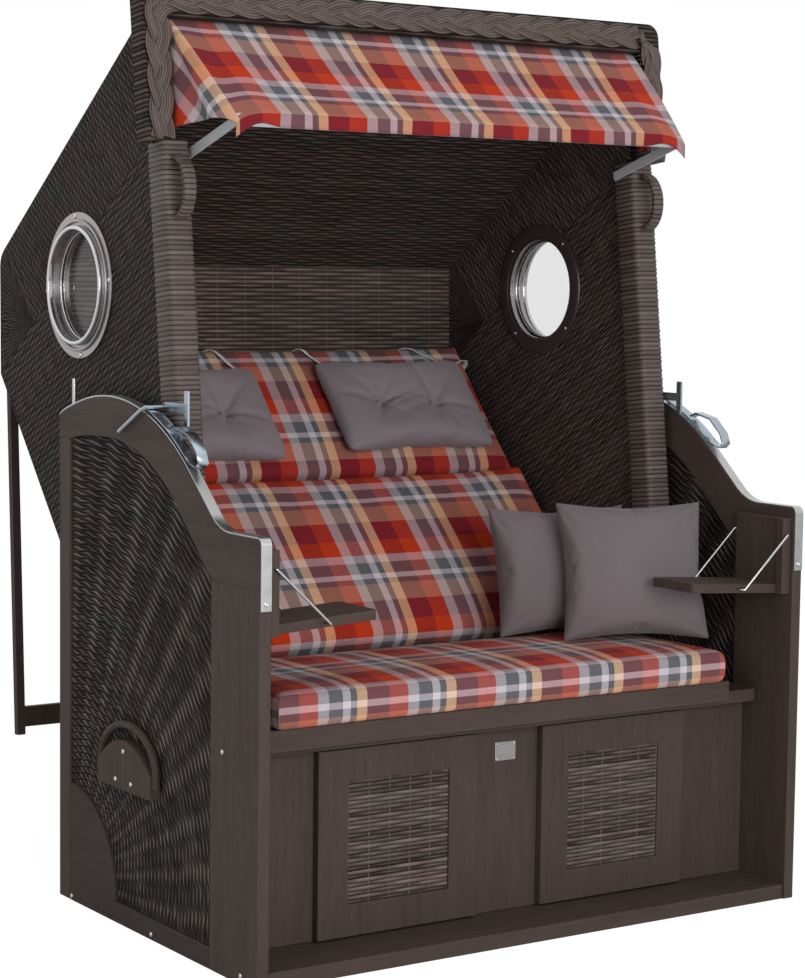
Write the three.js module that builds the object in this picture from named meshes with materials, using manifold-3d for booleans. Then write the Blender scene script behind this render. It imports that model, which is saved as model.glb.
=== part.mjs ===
// Hooded beach chair for two: a wicker hood that tips between two boxed side panels,
// over a bench with two pull-out footrests, two folding trays and a fabric awning.
// Millimetres. X runs to the sitter's left, seen from the front to the right; Y runs from the front
// to the back; Z points up. The origin lies on the floor, midway between the panels, front to back too.
import * as THREE from "three";
import { mergeVertices } from "three/addons/utils/BufferGeometryUtils.js";
import Module from "manifold-3d";

const wasm = await Module();
wasm.setup();

const seat = 0.3; // clearance between two pieces that touch
const overrun = 5; // how far a cutter or a joined piece runs past its face

// Side panels
const overallWidth = 1200;
const sideDepth = 752;
const panelThickness = 22.5;
const armFrontAbovePivot = 258;
const armCornerRadius = 10;
const pivotBack = 175;
const pivotHeight = 501;
const arcRadius = 465;
const archRailWidth = 73;
const arcFrontAngle = THREE.MathUtils.degToRad(131);
const arcRearAngle = THREE.MathUtils.degToRad(76);
const innerFrontAngle = THREE.MathUtils.degToRad(133);
const innerRearAngle = THREE.MathUtils.degToRad(88);
const ogeeRadius = 101;
const rearCornerDrop = 45;
const frontStileWidth = 162;
const rearStileWidth = 45;
const archRailRearDepth = 41;
const bottomRailHeight = 38;
const cornerBlockRadius = 190;
const infillThickness = 10;
const infillSetback = 5;
const slideRailWidth = 20;
const slideRailThickness = 3;
const slideRailDrop = 119;
const stopPinSetback = 40;
const stopPinRadius = 4;
const stopPinRise = 52;

// Carry handles on the outside
const handleMiddle = 81;
const handleBlockWidth = 207;
const handleBlockFoot = 259;
const handleBlockShoulder = 300;
const handleBlockTop = 350;
const handleBlockThickness = 20;
const handleTubeRadius = 7;
const handleTubeTop = 385;

// Upright that carries the hood's pivot bolt
const uprightWidth = 60;
const uprightThickness = 11;
const uprightAbovePivot = 32;
const pivotRadius = 10;

// Base
const floorThickness = 28;
const floorSetback = 4;
const baseBackHeight = 380;
const boardThickness = 22;
const frontPanelThickness = 18;
const frontPanelSetback = 131;
const seatFrameDrop = 126;
const seatFrameThickness = 24;
const seatFrameFront = 90;
const seatFrameDepth = 331;
const seatFrameBorder = 80;
const deckSetback = 50;
const deckThickness = 25;
const seatRailOverrun = 5;
const seatRailThickness = 22;
const seatRailHeight = 39;

// Footrests behind the front panel
const centrePanelWidth = 146;
const endPanelWidth = 165.5;
const doorOverlap = 12;
const doorTopGap = 7;
const doorThickness = 17;
const doorFoot = 32;
const doorStile = 62;
const doorRail = 58;
const insertThickness = 9;
const panelOpeningFoot = 45;
const panelOpeningTopGap = 20;
const trayClearance = 1;
const trayWall = 12;
const trayDepth = 470;

// Folding trays
const plateHeight = 146;
const plateFootDrop = 165;
const plateThickness = 14;
const plateFrontSetback = 24;
const plateDepth = 124;
const battenDepth = 16;
const battenThickness = 20;
const trayBoardReach = 211;
const trayBoardDepth = 122;
const trayBoardThickness = 17;
const trayBoardRise = 18;
const trayTilt = THREE.MathUtils.degToRad(3.4);
const stayRadius = 2.5;
const stayPivotRise = 114;
const stayReach = 104;

// Hood, drawn with its posts upright, about the pivot
const hoodLean = THREE.MathUtils.degToRad(6.7);
const hoodSideGap = 19.5;
const hoodSideThickness = 28;
const postFront = 236;
const postDepth = 60;
const postWidth = 53;
const postFoot = 150;
const postRadius = 9;
const rearWallRise = 232;
const roofSlope = THREE.MathUtils.degToRad(28.4);
const hoodRear = 478;
const hoodWaistBack = 500;
const hoodWaistHeight = 546;
const backSlope = THREE.MathUtils.degToRad(55.6);
const hoodFootDrop = 112;
const hoodFootWidth = 99;
const hoodShoulderRadius = 28;
const wallThickness = 18;
const wallInset = 2;
const collarDepth = 44;
const collarProud = 4;
const collarOverhang = 30;
const collarLegWidth = 52;
const collarLegLength = 278;
const collarRise = 19;
const collarBarHeight = 58;
const collarRadius = 26;
const portholeBack = 121;
const portholeDrop = 287;
const portholeRadius = 112;
const flangeRadius = 138;
const flangeThickness = 4;
const portholeTube = 7;
const paneThickness = 4;
const loopDrop = 84;
const loopHeight = 116;
const loopReach = 47;
const loopWidth = 22;
const loopThickness = 9;

// Support frame behind the hood
const supportHingeBehind = 36;
const supportHingeAbove = 29;
const supportLength = 768;
const supportBar = 17;
const supportSetback = 5;
const supportCrossHeight = 41;
const supportCrossFoot = 16;
const supportLean = THREE.MathUtils.degToRad(2.85);
const lugThickness = 20;
const lugRadius = 14;
const hingePinRadius = 5;

// Latch on each arm
const latchPivotAngle = THREE.MathUtils.degToRad(108.8);
const latchRodRadius = 4;
const latchClearance = 5;
const latchStripThickness = 3;
const latchStripWidth = 20;
const latchStripEndAngle = THREE.MathUtils.degToRad(128.5);
const latchLoopHeight = 36;
const latchLeverReach = 7;
const latchLeverLength = 108;
const latchLeverSlope = THREE.MathUtils.degToRad(27);
const latchPlateThickness = 4;
const latchBarHeight = 62;
const latchBarWidth = 14;
const latchBarForward = 72;

// Awning
const awningPivotBehind = 46;
const awningPivotDrop = 26;
const awningArmLength = 207;
const awningArmRise = THREE.MathUtils.degToRad(10.5);
const awningArmWidth = 18;
const awningArmThickness = 4;
const awningArmGap = 7;
const awningBarHeight = 22;
const awningBarDepth = 6;
const clothThickness = 2;
const clothTopSetback = 14;
const clothGussetDrop = 198;
const clothSag = 7;
const clothHemDrop = 26;
const clothClearance = 3;

// Cushions
const cushionSetback = 25;
const seatCushion = { leftSetback: 4, rightSetback: 64, depth: 370, thickness: 62, frontOverhang: 18 };
const headCushion = { length: 352, thickness: 90 };
const mainCushion = { length: 440, thickness: 118, footThickness: 148 };
const headCushionTop = 18;
const neckPillow = { widthShare: 0.371, length: 235, thickness: 70 };
const neckPillowPlaces = {
  left: { outShare: 0.523, foot: 24, sink: 7.3 },
  right: { outShare: 0.507, foot: 38, sink: 6.8 },
};
const throwPillow = { width: 302, height: 280, thickness: 104 };
const throwPillowLean = THREE.MathUtils.degToRad(16);
const throwPillowPlaces = {
  front: { fromSide: 152, back: -138, lift: 4.2, turn: THREE.MathUtils.degToRad(-21.5) },
  rear: { fromSide: 222, back: -5, lift: 2.6, turn: THREE.MathUtils.degToRad(-12) },
};

// Values that follow from the sizes above
const sideInner = overallWidth / 2 - panelThickness;
const sideOuter = overallWidth / 2;
const sideFront = -sideDepth / 2;
const sideBack = sideDepth / 2;
const openingFront = sideFront + frontStileWidth;
const openingBack = sideBack - rearStileWidth;
const armFrontHeight = pivotHeight + armFrontAbovePivot;
const slideRailFoot = armFrontHeight - slideRailDrop;
const plateFoot = armFrontHeight - plateFootDrop;
const trayBoardTop = plateFoot + trayBoardRise;
const stayPivotHeight = plateFoot + stayPivotRise;
const innerArcRadius = arcRadius - archRailWidth;
const frontPanelFront = sideFront + frontPanelSetback;
const rearStileHeight = pivotHeight + arcRadius - rearCornerDrop - archRailRearDepth;
const seatFrameBottom = pivotHeight - seatFrameDrop;
const doorHeight = seatFrameBottom - doorTopGap - doorFoot;
const panelOpeningHeight = seatFrameBottom - panelOpeningTopGap - panelOpeningFoot;
const doorWidth = sideInner - centrePanelWidth / 2 - endPanelWidth;
const footrestMiddle = centrePanelWidth / 2 + doorWidth / 2;
const panelOpeningWidth = doorWidth - 2 * doorOverlap;
const seatFrameTop = seatFrameBottom + seatFrameThickness;
const deckTop = seatFrameTop + seat + deckThickness;
const hoodHalfWidth = sideInner - hoodSideGap;
const hoodInner = hoodHalfWidth - hoodSideThickness;
const deckWidth = 2 * (hoodInner - deckSetback);
const cushionWidth = 2 * (hoodInner - cushionSetback);
const neckPillowWidth = cushionWidth * neckPillow.widthShare;
const collarHalfWidth = hoodHalfWidth + collarOverhang;
const roofRearHeight = hoodWaistHeight + rearWallRise;
const roofFrontHeight = roofRearHeight + (hoodRear + postFront) * Math.tan(roofSlope);
const porthole = { back: portholeBack, height: roofHeight(portholeBack) - portholeDrop };
const collarTop = roofFrontHeight + collarRise;
const collarLegFoot = collarTop - collarLegLength;
const loopMiddle = collarLegFoot - loopDrop;
const awningPivot = { back: -postFront + awningPivotBehind, height: collarLegFoot - awningPivotDrop };
const supportHinge = {
  back: hoodWaistBack + supportHingeBehind,
  height: hoodWaistHeight + supportHingeAbove,
};
const supportOutside = hoodInner - supportSetback;
const awningHalfWidth = hoodHalfWidth - postWidth - awningArmGap;
const clothTopHalfWidth = collarHalfWidth - collarLegWidth - clothTopSetback;
const collarBack = -postFront - collarProud + collarDepth;

const timber = new THREE.MeshStandardMaterial({ color: 0x4a403c, roughness: 0.62, metalness: 0 });
const wicker = new THREE.MeshStandardMaterial({ color: 0x2f2825, roughness: 0.45, metalness: 0 });
const aluminium = new THREE.MeshStandardMaterial({ color: 0xb9bab8, roughness: 0.32, metalness: 1 });
const steel = new THREE.MeshStandardMaterial({ color: 0x9a9c9f, roughness: 0.25, metalness: 1 });
const zinc = new THREE.MeshStandardMaterial({ color: 0x93a3b0, roughness: 0.3, metalness: 1 });
const glass = new THREE.MeshStandardMaterial({ color: 0xe6ecee, roughness: 0.05, metalness: 0 });
const plaid = new THREE.MeshStandardMaterial({ color: 0xa8433a, roughness: 0.9, metalness: 0 });
const greyFabric = new THREE.MeshStandardMaterial({ color: 0x756b6f, roughness: 0.92, metalness: 0 });

const chair = new THREE.Group();

function addMesh(parent, name, geometry, material) {
  const mesh = new THREE.Mesh(geometry, material);
  mesh.name = name;
  parent.add(mesh);
  return mesh;
}

// Flat outlines and the solids drawn from them

function outline(points) {
  return new THREE.Shape(points.map(([a, b]) => new THREE.Vector2(a, b)));
}

function arcPoints(middle, radius, from, to, steps) {
  return Array.from({ length: steps + 1 }, (_, i) => {
    const angle = from + ((to - from) * i) / steps;
    return [middle[0] + radius * Math.cos(angle), middle[1] + radius * Math.sin(angle)];
  });
}

function quadraticPoints(start, control, end, steps) {
  const curve = new THREE.QuadraticBezierCurve(
    new THREE.Vector2(...start),
    new THREE.Vector2(...control),
    new THREE.Vector2(...end),
  );
  return curve.getPoints(steps).map((p) => [p.x, p.y]);
}

function circleHole(middle, radius, steps) {
  return new THREE.Path(
    arcPoints(middle, radius, 0, 2 * Math.PI, steps)
      .slice(0, steps)
      .map(([a, b]) => new THREE.Vector2(a, b)),
  );
}

function rectangle(left, right, low, high, radius = 0) {
  if (radius === 0)
    return outline([
      [left, low],
      [right, low],
      [right, high],
      [left, high],
    ]);
  const corners = [
    [right - radius, low + radius, -Math.PI / 2],
    [right - radius, high - radius, 0],
    [left + radius, high - radius, Math.PI / 2],
    [left + radius, low + radius, Math.PI],
  ];
  const quarter = Math.PI / 2;
  return outline(corners.flatMap(([a, b, angle]) => arcPoints([a, b], radius, angle, angle + quarter, 4)));
}

function extrude(shape, depth) {
  return new THREE.ExtrudeGeometry(shape, { depth, bevelEnabled: false, curveSegments: 12 });
}

// The outline's two axes are Y and Z, and the solid runs along X from start.
function extrudeX(shape, start, depth) {
  const turn = new THREE.Matrix4().makeBasis(
    new THREE.Vector3(0, 1, 0),
    new THREE.Vector3(0, 0, 1),
    new THREE.Vector3(1, 0, 0),
  );
  return extrude(shape, depth).applyMatrix4(turn).translate(start, 0, 0);
}

// The outline's two axes are X and Z, and the solid runs along Y from start.
function extrudeY(shape, start, depth) {
  return extrude(shape, depth)
    .rotateX(Math.PI / 2)
    .translate(0, start + depth, 0);
}

// The outline's two axes are X and Y, and the solid runs up from start.
function extrudeZ(shape, start, height) {
  return extrude(shape, height).translate(0, 0, start);
}

function box([x0, x1], [y0, y1], [z0, z1]) {
  const block = new THREE.BoxGeometry(x1 - x0, y1 - y0, z1 - z0);
  return block.translate((x0 + x1) / 2, (y0 + y1) / 2, (z0 + z1) / 2);
}

function cylinderX(radius, from, to, y, z, sides = 24) {
  return new THREE.CylinderGeometry(radius, radius, to - from, sides)
    .rotateZ(Math.PI / 2)
    .translate((from + to) / 2, y, z);
}

// A band of even thickness along a flat line, as a closed outline
function bandOutline(line, thickness) {
  const sides = [[], []];
  line.forEach(([a, b], i) => {
    const before = line[Math.max(i - 1, 0)];
    const after = line[Math.min(i + 1, line.length - 1)];
    const length = Math.hypot(after[0] - before[0], after[1] - before[1]);
    const normal = [-(after[1] - before[1]) / length, (after[0] - before[0]) / length];
    sides[0].push([a + (normal[0] * thickness) / 2, b + (normal[1] * thickness) / 2]);
    sides[1].push([a - (normal[0] * thickness) / 2, b - (normal[1] * thickness) / 2]);
  });
  return outline([...sides[0], ...sides[1].reverse()]);
}

// A round bar along a bent line, with flat ends
function bentBar(points, radius, sides = 8) {
  const corners = points.map((p) => new THREE.Vector3(...p));
  const frames = corners.map((p, i) => {
    const before = corners[Math.max(i - 1, 0)];
    const after = corners[Math.min(i + 1, corners.length - 1)];
    return { at: p, along: after.clone().sub(before).normalize() };
  });
  const position = [];
  const index = [];
  let across = new THREE.Vector3(0, 0, 1).cross(frames[0].along);
  if (across.length() < 0.1) across = new THREE.Vector3(1, 0, 0);
  frames.forEach(({ at, along }) => {
    across = across.clone().sub(along.clone().multiplyScalar(across.dot(along))).normalize();
    const up = along.clone().cross(across);
    for (let s = 0; s < sides; s += 1) {
      const angle = (2 * Math.PI * s) / sides;
      const offset = across
        .clone()
        .multiplyScalar(radius * Math.cos(angle))
        .add(up.clone().multiplyScalar(radius * Math.sin(angle)));
      position.push(...at.clone().add(offset).toArray());
    }
  });
  for (let ring = 0; ring + 1 < frames.length; ring += 1)
    for (let s = 0; s < sides; s += 1) {
      const a = ring * sides + s;
      const b = ring * sides + ((s + 1) % sides);
      index.push(a, b, a + sides, b, b + sides, a + sides);
    }
  const last = (frames.length - 1) * sides;
  for (let s = 1; s + 1 < sides; s += 1) {
    index.push(0, s + 1, s);
    index.push(last, last + s, last + s + 1);
  }
  return new THREE.BufferGeometry()
    .setAttribute("position", new THREE.Float32BufferAttribute(position, 3))
    .setIndex(index);
}

// Joins and cuts of closed meshes

function toSolid(geometry) {
  const bare = geometry.clone();
  bare.deleteAttribute("normal");
  bare.deleteAttribute("uv");
  const merged = mergeVertices(bare, 1e-4);
  return new wasm.Manifold(
    new wasm.Mesh({
      numProp: 3,
      vertProperties: new Float32Array(merged.attributes.position.array),
      triVerts: new Uint32Array(merged.index.array),
    }),
  );
}

function toGeometry(solid) {
  const { vertProperties, triVerts } = solid.getMesh();
  const geometry = new THREE.BufferGeometry()
    .setAttribute("position", new THREE.BufferAttribute(vertProperties, 3))
    .setIndex(new THREE.BufferAttribute(triVerts, 1))
    .toNonIndexed();
  geometry.computeVertexNormals();
  return geometry;
}

function join(...geometries) {
  return toGeometry(geometries.map(toSolid).reduce((whole, piece) => whole.add(piece)));
}

function cut(geometry, ...cutters) {
  return toGeometry(cutters.map(toSolid).reduce((whole, piece) => whole.subtract(piece), toSolid(geometry)));
}

// A stuffed form over a grid of places: place(a, b, side) gives the point of its top (side 1) or
// bottom (side -1) skin, and both skins meet along the rim.
function stuffed(acrossPlaces, alongPlaces, place) {
  const position = [];
  const index = [];
  const seen = new Map();
  const across = acrossPlaces.length - 1;
  const along = alongPlaces.length - 1;
  function vertex(i, j, side) {
    const rim = i === 0 || j === 0 || i === across || j === along;
    const key = rim ? `${i},${j}` : `${i},${j},${side}`;
    if (!seen.has(key)) {
      seen.set(key, position.length / 3);
      position.push(...place(acrossPlaces[i], alongPlaces[j], rim ? 0 : side));
    }
    return seen.get(key);
  }
  for (const side of [1, -1])
    for (let i = 0; i < across; i += 1)
      for (let j = 0; j < along; j += 1) {
        const quad = [
          vertex(i, j, side),
          vertex(i + 1, j, side),
          vertex(i + 1, j + 1, side),
          vertex(i, j + 1, side),
        ];
        if (side < 0) quad.reverse();
        index.push(quad[0], quad[1], quad[2], quad[0], quad[2], quad[3]);
      }
  return new THREE.BufferGeometry()
    .setAttribute("position", new THREE.Float32BufferAttribute(position, 3))
    .setIndex(index);
}

// Places from 0 to size, close together over the rounded edges and even between them
function edgedPlaces(size, edge, between) {
  const roundShares = [0, 0.03, 0.15, 0.45];
  const near = roundShares.map((share) => share * edge);
  const far = near.map((place) => size - place).reverse();
  const middle = Array.from({ length: between + 1 }, (_, i) => edge + ((size - 2 * edge) * i) / between);
  return [...near, ...middle, ...far];
}

// A box cushion lying on z = 0: full rounded edges, a low crown and sides that draw in between the corners
function boxCushion(width, length, thickness, footThickness = thickness) {
  const roundness = 2.6;
  const edge = thickness * 0.34;
  const crown = thickness / 14;
  const drawIn = thickness / 12;
  return stuffed(edgedPlaces(width, edge, 8), edgedPlaces(length, edge, 4), (a, b, side) => {
    const u = a / width;
    const v = b / length;
    const local = footThickness + (thickness - footThickness) * v;
    const fromRim = Math.min(1, Math.min(a, width - a, b, length - b) / edge);
    const half = (local / 2) * (1 - (1 - fromRim) ** roundness) ** (1 / roundness);
    const bulge = side > 0 ? crown * 16 * u * (1 - u) * v * (1 - v) : 0;
    return [
      (u - 0.5) * (width - drawIn * 4 * v * (1 - v)),
      (v - 0.5) * (length - drawIn * 4 * u * (1 - u)) + length / 2,
      local / 2 + side * half + bulge,
    ];
  });
}

// A loose pillow about its own middle: thin sewn edges, corners left long, tufts pressed in
function loosePillow(width, length, thickness, tuftShares) {
  const steps = 16;
  const drawIn = thickness / 4.5;
  const tuftReach = thickness * 0.75;
  const even = Array.from({ length: steps + 1 }, (_, i) => i / steps);
  return stuffed(even, even, (u, v, side) => {
    const belly = 16 * u * (1 - u) * v * (1 - v);
    const pressed = tuftShares.reduce((depth, share) => {
      const away = Math.hypot((u - share) * width, (v - 0.5) * length) / tuftReach;
      return depth * (1 - 0.55 * Math.exp(-away * away));
    }, 1);
    return [
      (u - 0.5) * (width - drawIn * 4 * v * (1 - v)),
      (v - 0.5) * (length - drawIn * 4 * u * (1 - u)),
      side * (thickness / 2) * belly ** 0.45 * pressed,
    ];
  });
}

// Side panels

function tangentEnd(start, angle, stop) {
  const run = (start[0] - stop) / Math.sin(angle);
  return [stop, start[1] + run * Math.cos(angle)];
}

// The arm's top from its front corner over the ogee and the arc to the rear corner
function armTop() {
  const arc = arcPoints([pivotBack, pivotHeight], arcRadius, arcFrontAngle, arcRearAngle, 18);
  const turn = arcFrontAngle - Math.PI / 2;
  const kneeRun = (arc[0][1] - armFrontHeight) / Math.sin(turn);
  const kneeBack = arc[0][0] - kneeRun * Math.cos(turn);
  const ogeeBack = kneeBack - ogeeRadius * Math.tan(turn / 2);
  const cornerMiddle = [sideFront + armCornerRadius, armFrontHeight - armCornerRadius];
  const last = arc[arc.length - 1];
  const fall = Math.cos(arcRearAngle) / Math.sin(arcRearAngle);
  const control = [sideBack, last[1] - (sideBack - last[0]) * fall];
  const corner = [sideBack, pivotHeight + arcRadius - rearCornerDrop];
  return [
    ...arcPoints(cornerMiddle, armCornerRadius, Math.PI, Math.PI / 2, 4),
    ...arcPoints([ogeeBack, armFrontHeight + ogeeRadius], ogeeRadius, -Math.PI / 2, -Math.PI / 2 + turn, 7),
    ...arc,
    ...quadraticPoints(last, control, corner, 6).slice(1),
  ];
}

// The same line moved outwards by a distance, to the left of its own direction
function movedOut(line, distance) {
  return line.map(([a, b], i) => {
    const before = line[Math.max(i - 1, 0)];
    const after = line[Math.min(i + 1, line.length - 1)];
    const length = Math.hypot(after[0] - before[0], after[1] - before[1]);
    return [
      a - ((after[1] - before[1]) / length) * distance,
      b + ((after[0] - before[0]) / length) * distance,
    ];
  });
}

// The arch rail's lower edge from the rear stile to the front stile, at an offset inside the opening
function armUnderside(offset) {
  const radius = innerArcRadius - offset;
  const arc = arcPoints([pivotBack, pivotHeight], radius, innerRearAngle, innerFrontAngle, 14);
  const rear = [openingBack - offset, rearStileHeight - offset];
  const control = [(rear[0] + arc[0][0]) / 2 + archRailWidth / 2, arc[0][1]];
  const foot = tangentEnd(arc[arc.length - 1], innerFrontAngle, openingFront + offset);
  return [...quadraticPoints(rear, control, arc[0], 5).slice(0, -1), ...arc, foot];
}

const archFoot = armUnderside(0).pop()[1];

function archRail() {
  const rear = [sideBack, rearStileHeight];
  const shape = outline([[sideFront, archFoot], ...armTop(), rear, ...armUnderside(0)]);
  return extrudeX(shape, sideInner, panelThickness);
}

function bottomRail() {
  const shape = outline([
    [openingFront + seat, 0],
    [openingBack - seat, 0],
    ...arcPoints([openingBack - seat, bottomRailHeight], cornerBlockRadius, Math.PI / 2, Math.PI, 12),
    [openingFront + seat, bottomRailHeight],
  ]);
  return extrudeX(shape, sideInner, panelThickness);
}

function sideInfill() {
  const blockMiddle = [openingBack, bottomRailHeight];
  const block = arcPoints(blockMiddle, cornerBlockRadius + seat, Math.PI, Math.PI / 2, 12);
  const top = armUnderside(seat);
  const shape = outline([
    [openingFront + seat, bottomRailHeight + seat],
    [block[0][0], bottomRailHeight + seat],
    ...block.slice(1, -1),
    [openingBack - seat, block[block.length - 1][1]],
    ...top,
  ]);
  return extrudeX(shape, sideOuter - infillSetback - infillThickness, infillThickness);
}

// A strip over the arm's whole top edge and down its front, with a stop pin near the rear
function slideRail() {
  const line = [[sideFront, slideRailFoot], ...armTop()];
  const shape = outline([...movedOut(line, seat + slideRailThickness), ...movedOut(line, seat).reverse()]);
  const middle = sideOuter - panelThickness / 2;
  const rail = extrudeX(shape, middle - slideRailWidth / 2, slideRailWidth);
  const pinBack = sideBack - stopPinSetback;
  const next = line.findIndex(([back]) => back > pinBack);
  const [before, after] = [line[next - 1], line[next]];
  const foot = before[1] + ((after[1] - before[1]) * (pinBack - before[0])) / (after[0] - before[0]);
  const pin = new THREE.CylinderGeometry(stopPinRadius, stopPinRadius, stopPinRise, 12);
  const pinMiddle = foot + (slideRailThickness + stopPinRise) / 2;
  return join(rail, pin.rotateX(Math.PI / 2).translate(middle, pinBack, pinMiddle));
}

// A timber block with a tube bent over it, on the outside of the infill
function carryHandle() {
  const face = sideOuter - infillSetback + seat;
  const half = handleBlockWidth / 2;
  const blockShape = outline([
    [handleMiddle - half, handleBlockFoot],
    [handleMiddle + half, handleBlockFoot],
    ...quadraticPoints(
      [handleMiddle + half, handleBlockShoulder],
      [handleMiddle, 2 * handleBlockTop - handleBlockShoulder],
      [handleMiddle - half, handleBlockShoulder],
      10,
    ),
  ]);
  const middle = face + handleBlockThickness / 2;
  const reach = half + handleTubeRadius / 2;
  const tubeFoot = (handleBlockFoot + handleBlockShoulder) / 2;
  const arch = arcPoints([0, 0], 1, Math.PI, 0, 14).map(([a, b]) => [
    middle,
    handleMiddle + reach * a,
    handleBlockShoulder + (handleTubeTop - handleTubeRadius - handleBlockShoulder) * b,
  ]);
  const tube = [[middle, handleMiddle - reach, tubeFoot], ...arch, [middle, handleMiddle + reach, tubeFoot]];
  return join(extrudeX(blockShape, face, handleBlockThickness), bentBar(tube, handleTubeRadius));
}

// An upright inside each panel, with the bolt that the hood turns on
function pivotUpright() {
  const board = box(
    [sideInner - seat - uprightThickness, sideInner - seat],
    [pivotBack - uprightWidth / 2, pivotBack + uprightWidth / 2],
    [floorThickness + seat, pivotHeight + uprightAbovePivot],
  );
  const bolt = cylinderX(
    pivotRadius,
    hoodInner + seat,
    sideInner - uprightThickness / 2,
    pivotBack,
    pivotHeight,
  );
  return join(board, bolt);
}

// Folding trays on the inside of the panels
const plateFront = sideFront + plateFrontSetback;
const plateFace = sideInner - seat - plateThickness;
const plateMiddle = plateFront + plateDepth / 2;

function trayPlate() {
  const back = sideInner - seat;
  const shape = outline([
    [back, plateFront - battenDepth],
    [back, plateFront + plateDepth],
    [plateFace, plateFront + plateDepth],
    [plateFace, plateFront],
    [back - battenThickness, plateFront],
    [back - battenThickness, plateFront - battenDepth],
  ]);
  return extrudeZ(shape, plateFoot, plateHeight);
}

function trayBoard() {
  const radius = trayBoardThickness / 2;
  const shape = outline([
    [0, -trayBoardDepth / 2],
    [0, trayBoardDepth / 2],
    ...arcPoints([-trayBoardReach + radius, trayBoardDepth / 2 - radius], radius, Math.PI / 2, Math.PI, 4),
    ...arcPoints([-trayBoardReach + radius, -trayBoardDepth / 2 + radius], radius, Math.PI, 1.5 * Math.PI, 4),
  ]);
  return extrudeZ(shape, -trayBoardThickness, trayBoardThickness);
}

// A wire stay from the plate's edge to the tray's edge, with both ends bent in; way is 1 at the
// rear edge and -1 at the front edge
function trayStay(way) {
  const edge = way > 0 ? plateFront + plateDepth : plateFront - battenDepth;
  const plane = edge + way * (stayRadius * 2 + seat);
  const board = plateMiddle + way * (trayBoardDepth / 2);
  const top = plateFace + stayRadius;
  const drop = trayBoardThickness / 2 - stayReach * Math.tan(trayTilt);
  const low = [plateFace - stayReach, plane, trayBoardTop - drop];
  return bentBar(
    [
      [top, edge + way * seat, stayPivotHeight],
      [top, plane, stayPivotHeight],
      low,
      [low[0], board + way * seat, low[2]],
    ],
    stayRadius,
    6,
  );
}

function sidePanel(side, sign) {
  const group = new THREE.Group();
  group.scale.x = sign;
  chair.add(group);
  const frontStile = box([sideInner, sideOuter], [sideFront, openingFront], [0, archFoot - seat]);
  const rearStile = box([sideInner, sideOuter], [openingBack, sideBack], [0, rearStileHeight - seat]);
  addMesh(group, `front_stile_${side}`, frontStile, timber);
  addMesh(group, `rear_stile_${side}`, rearStile, timber);
  addMesh(group, `arch_rail_${side}`, archRail(), timber);
  addMesh(group, `bottom_rail_${side}`, bottomRail(), timber);
  addMesh(group, `side_wicker_${side}`, sideInfill(), wicker);
  addMesh(group, `slide_rail_${side}`, slideRail(), aluminium);
  addMesh(group, `carry_handle_${side}`, carryHandle(), timber);
  addMesh(group, `pivot_upright_${side}`, pivotUpright(), timber);
  addMesh(group, `tray_plate_${side}`, trayPlate(), timber);
  const board = addMesh(group, `tray_board_${side}`, trayBoard(), timber);
  board.position.set(plateFace - seat, plateMiddle, trayBoardTop);
  board.rotation.y = trayTilt;
  addMesh(group, `tray_stay_rear_${side}`, trayStay(1), steel);
  addMesh(group, `tray_stay_front_${side}`, trayStay(-1), steel);
}

// Base between the side panels

function frontPanel() {
  const half = sideInner - seat;
  const back = frontPanelFront + frontPanelThickness;
  const board = box([-half, half], [frontPanelFront, back], [floorThickness + seat, seatFrameBottom - seat]);
  const openings = [-footrestMiddle, footrestMiddle].map((middle) =>
    box(
      [middle - panelOpeningWidth / 2, middle + panelOpeningWidth / 2],
      [frontPanelFront - overrun, back + overrun],
      [panelOpeningFoot, panelOpeningFoot + panelOpeningHeight],
    ),
  );
  return cut(board, ...openings);
}

function seatFrame() {
  const front = sideFront + seatFrameFront;
  const half = sideInner - seat;
  const shape = rectangle(-half, half, front, front + seatFrameDepth, boardThickness / 2);
  const inner = rectangle(
    -half + seatFrameBorder,
    half - seatFrameBorder,
    front + seatFrameBorder,
    front + seatFrameDepth - seatFrameBorder,
  );
  shape.holes.push(inner);
  return extrudeZ(shape, seatFrameBottom, seatFrameThickness);
}

function base() {
  const half = sideInner - seat;
  const floor = box([-half, half], [sideFront + floorSetback, sideBack - floorSetback], [0, floorThickness]);
  const back = box(
    [-half, half],
    [sideBack - floorSetback - boardThickness, sideBack - floorSetback],
    [floorThickness + seat, baseBackHeight],
  );
  const deckFront = sideFront + seatFrameFront + seat;
  const deck = box(
    [-deckWidth / 2, deckWidth / 2],
    [deckFront, deckFront + seatFrameDepth - seat],
    [seatFrameTop + seat, deckTop],
  );
  const rail = box(
    [-sideInner + seat, deckWidth / 2 + seatRailOverrun],
    [sideFront + seatFrameFront - seatRailThickness, sideFront + seatFrameFront - seat],
    [deckTop - seatRailHeight, deckTop],
  );
  addMesh(chair, "floor_board", floor, timber);
  addMesh(chair, "front_panel", frontPanel(), timber);
  addMesh(chair, "back_board", back, timber);
  addMesh(chair, "seat_frame", seatFrame(), timber);
  addMesh(chair, "seat_deck", deck, timber);
  addMesh(chair, "seat_rail", rail, timber);
}

// Footrests: a framed door with a wicker insert on a bench that slides through the front panel

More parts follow.
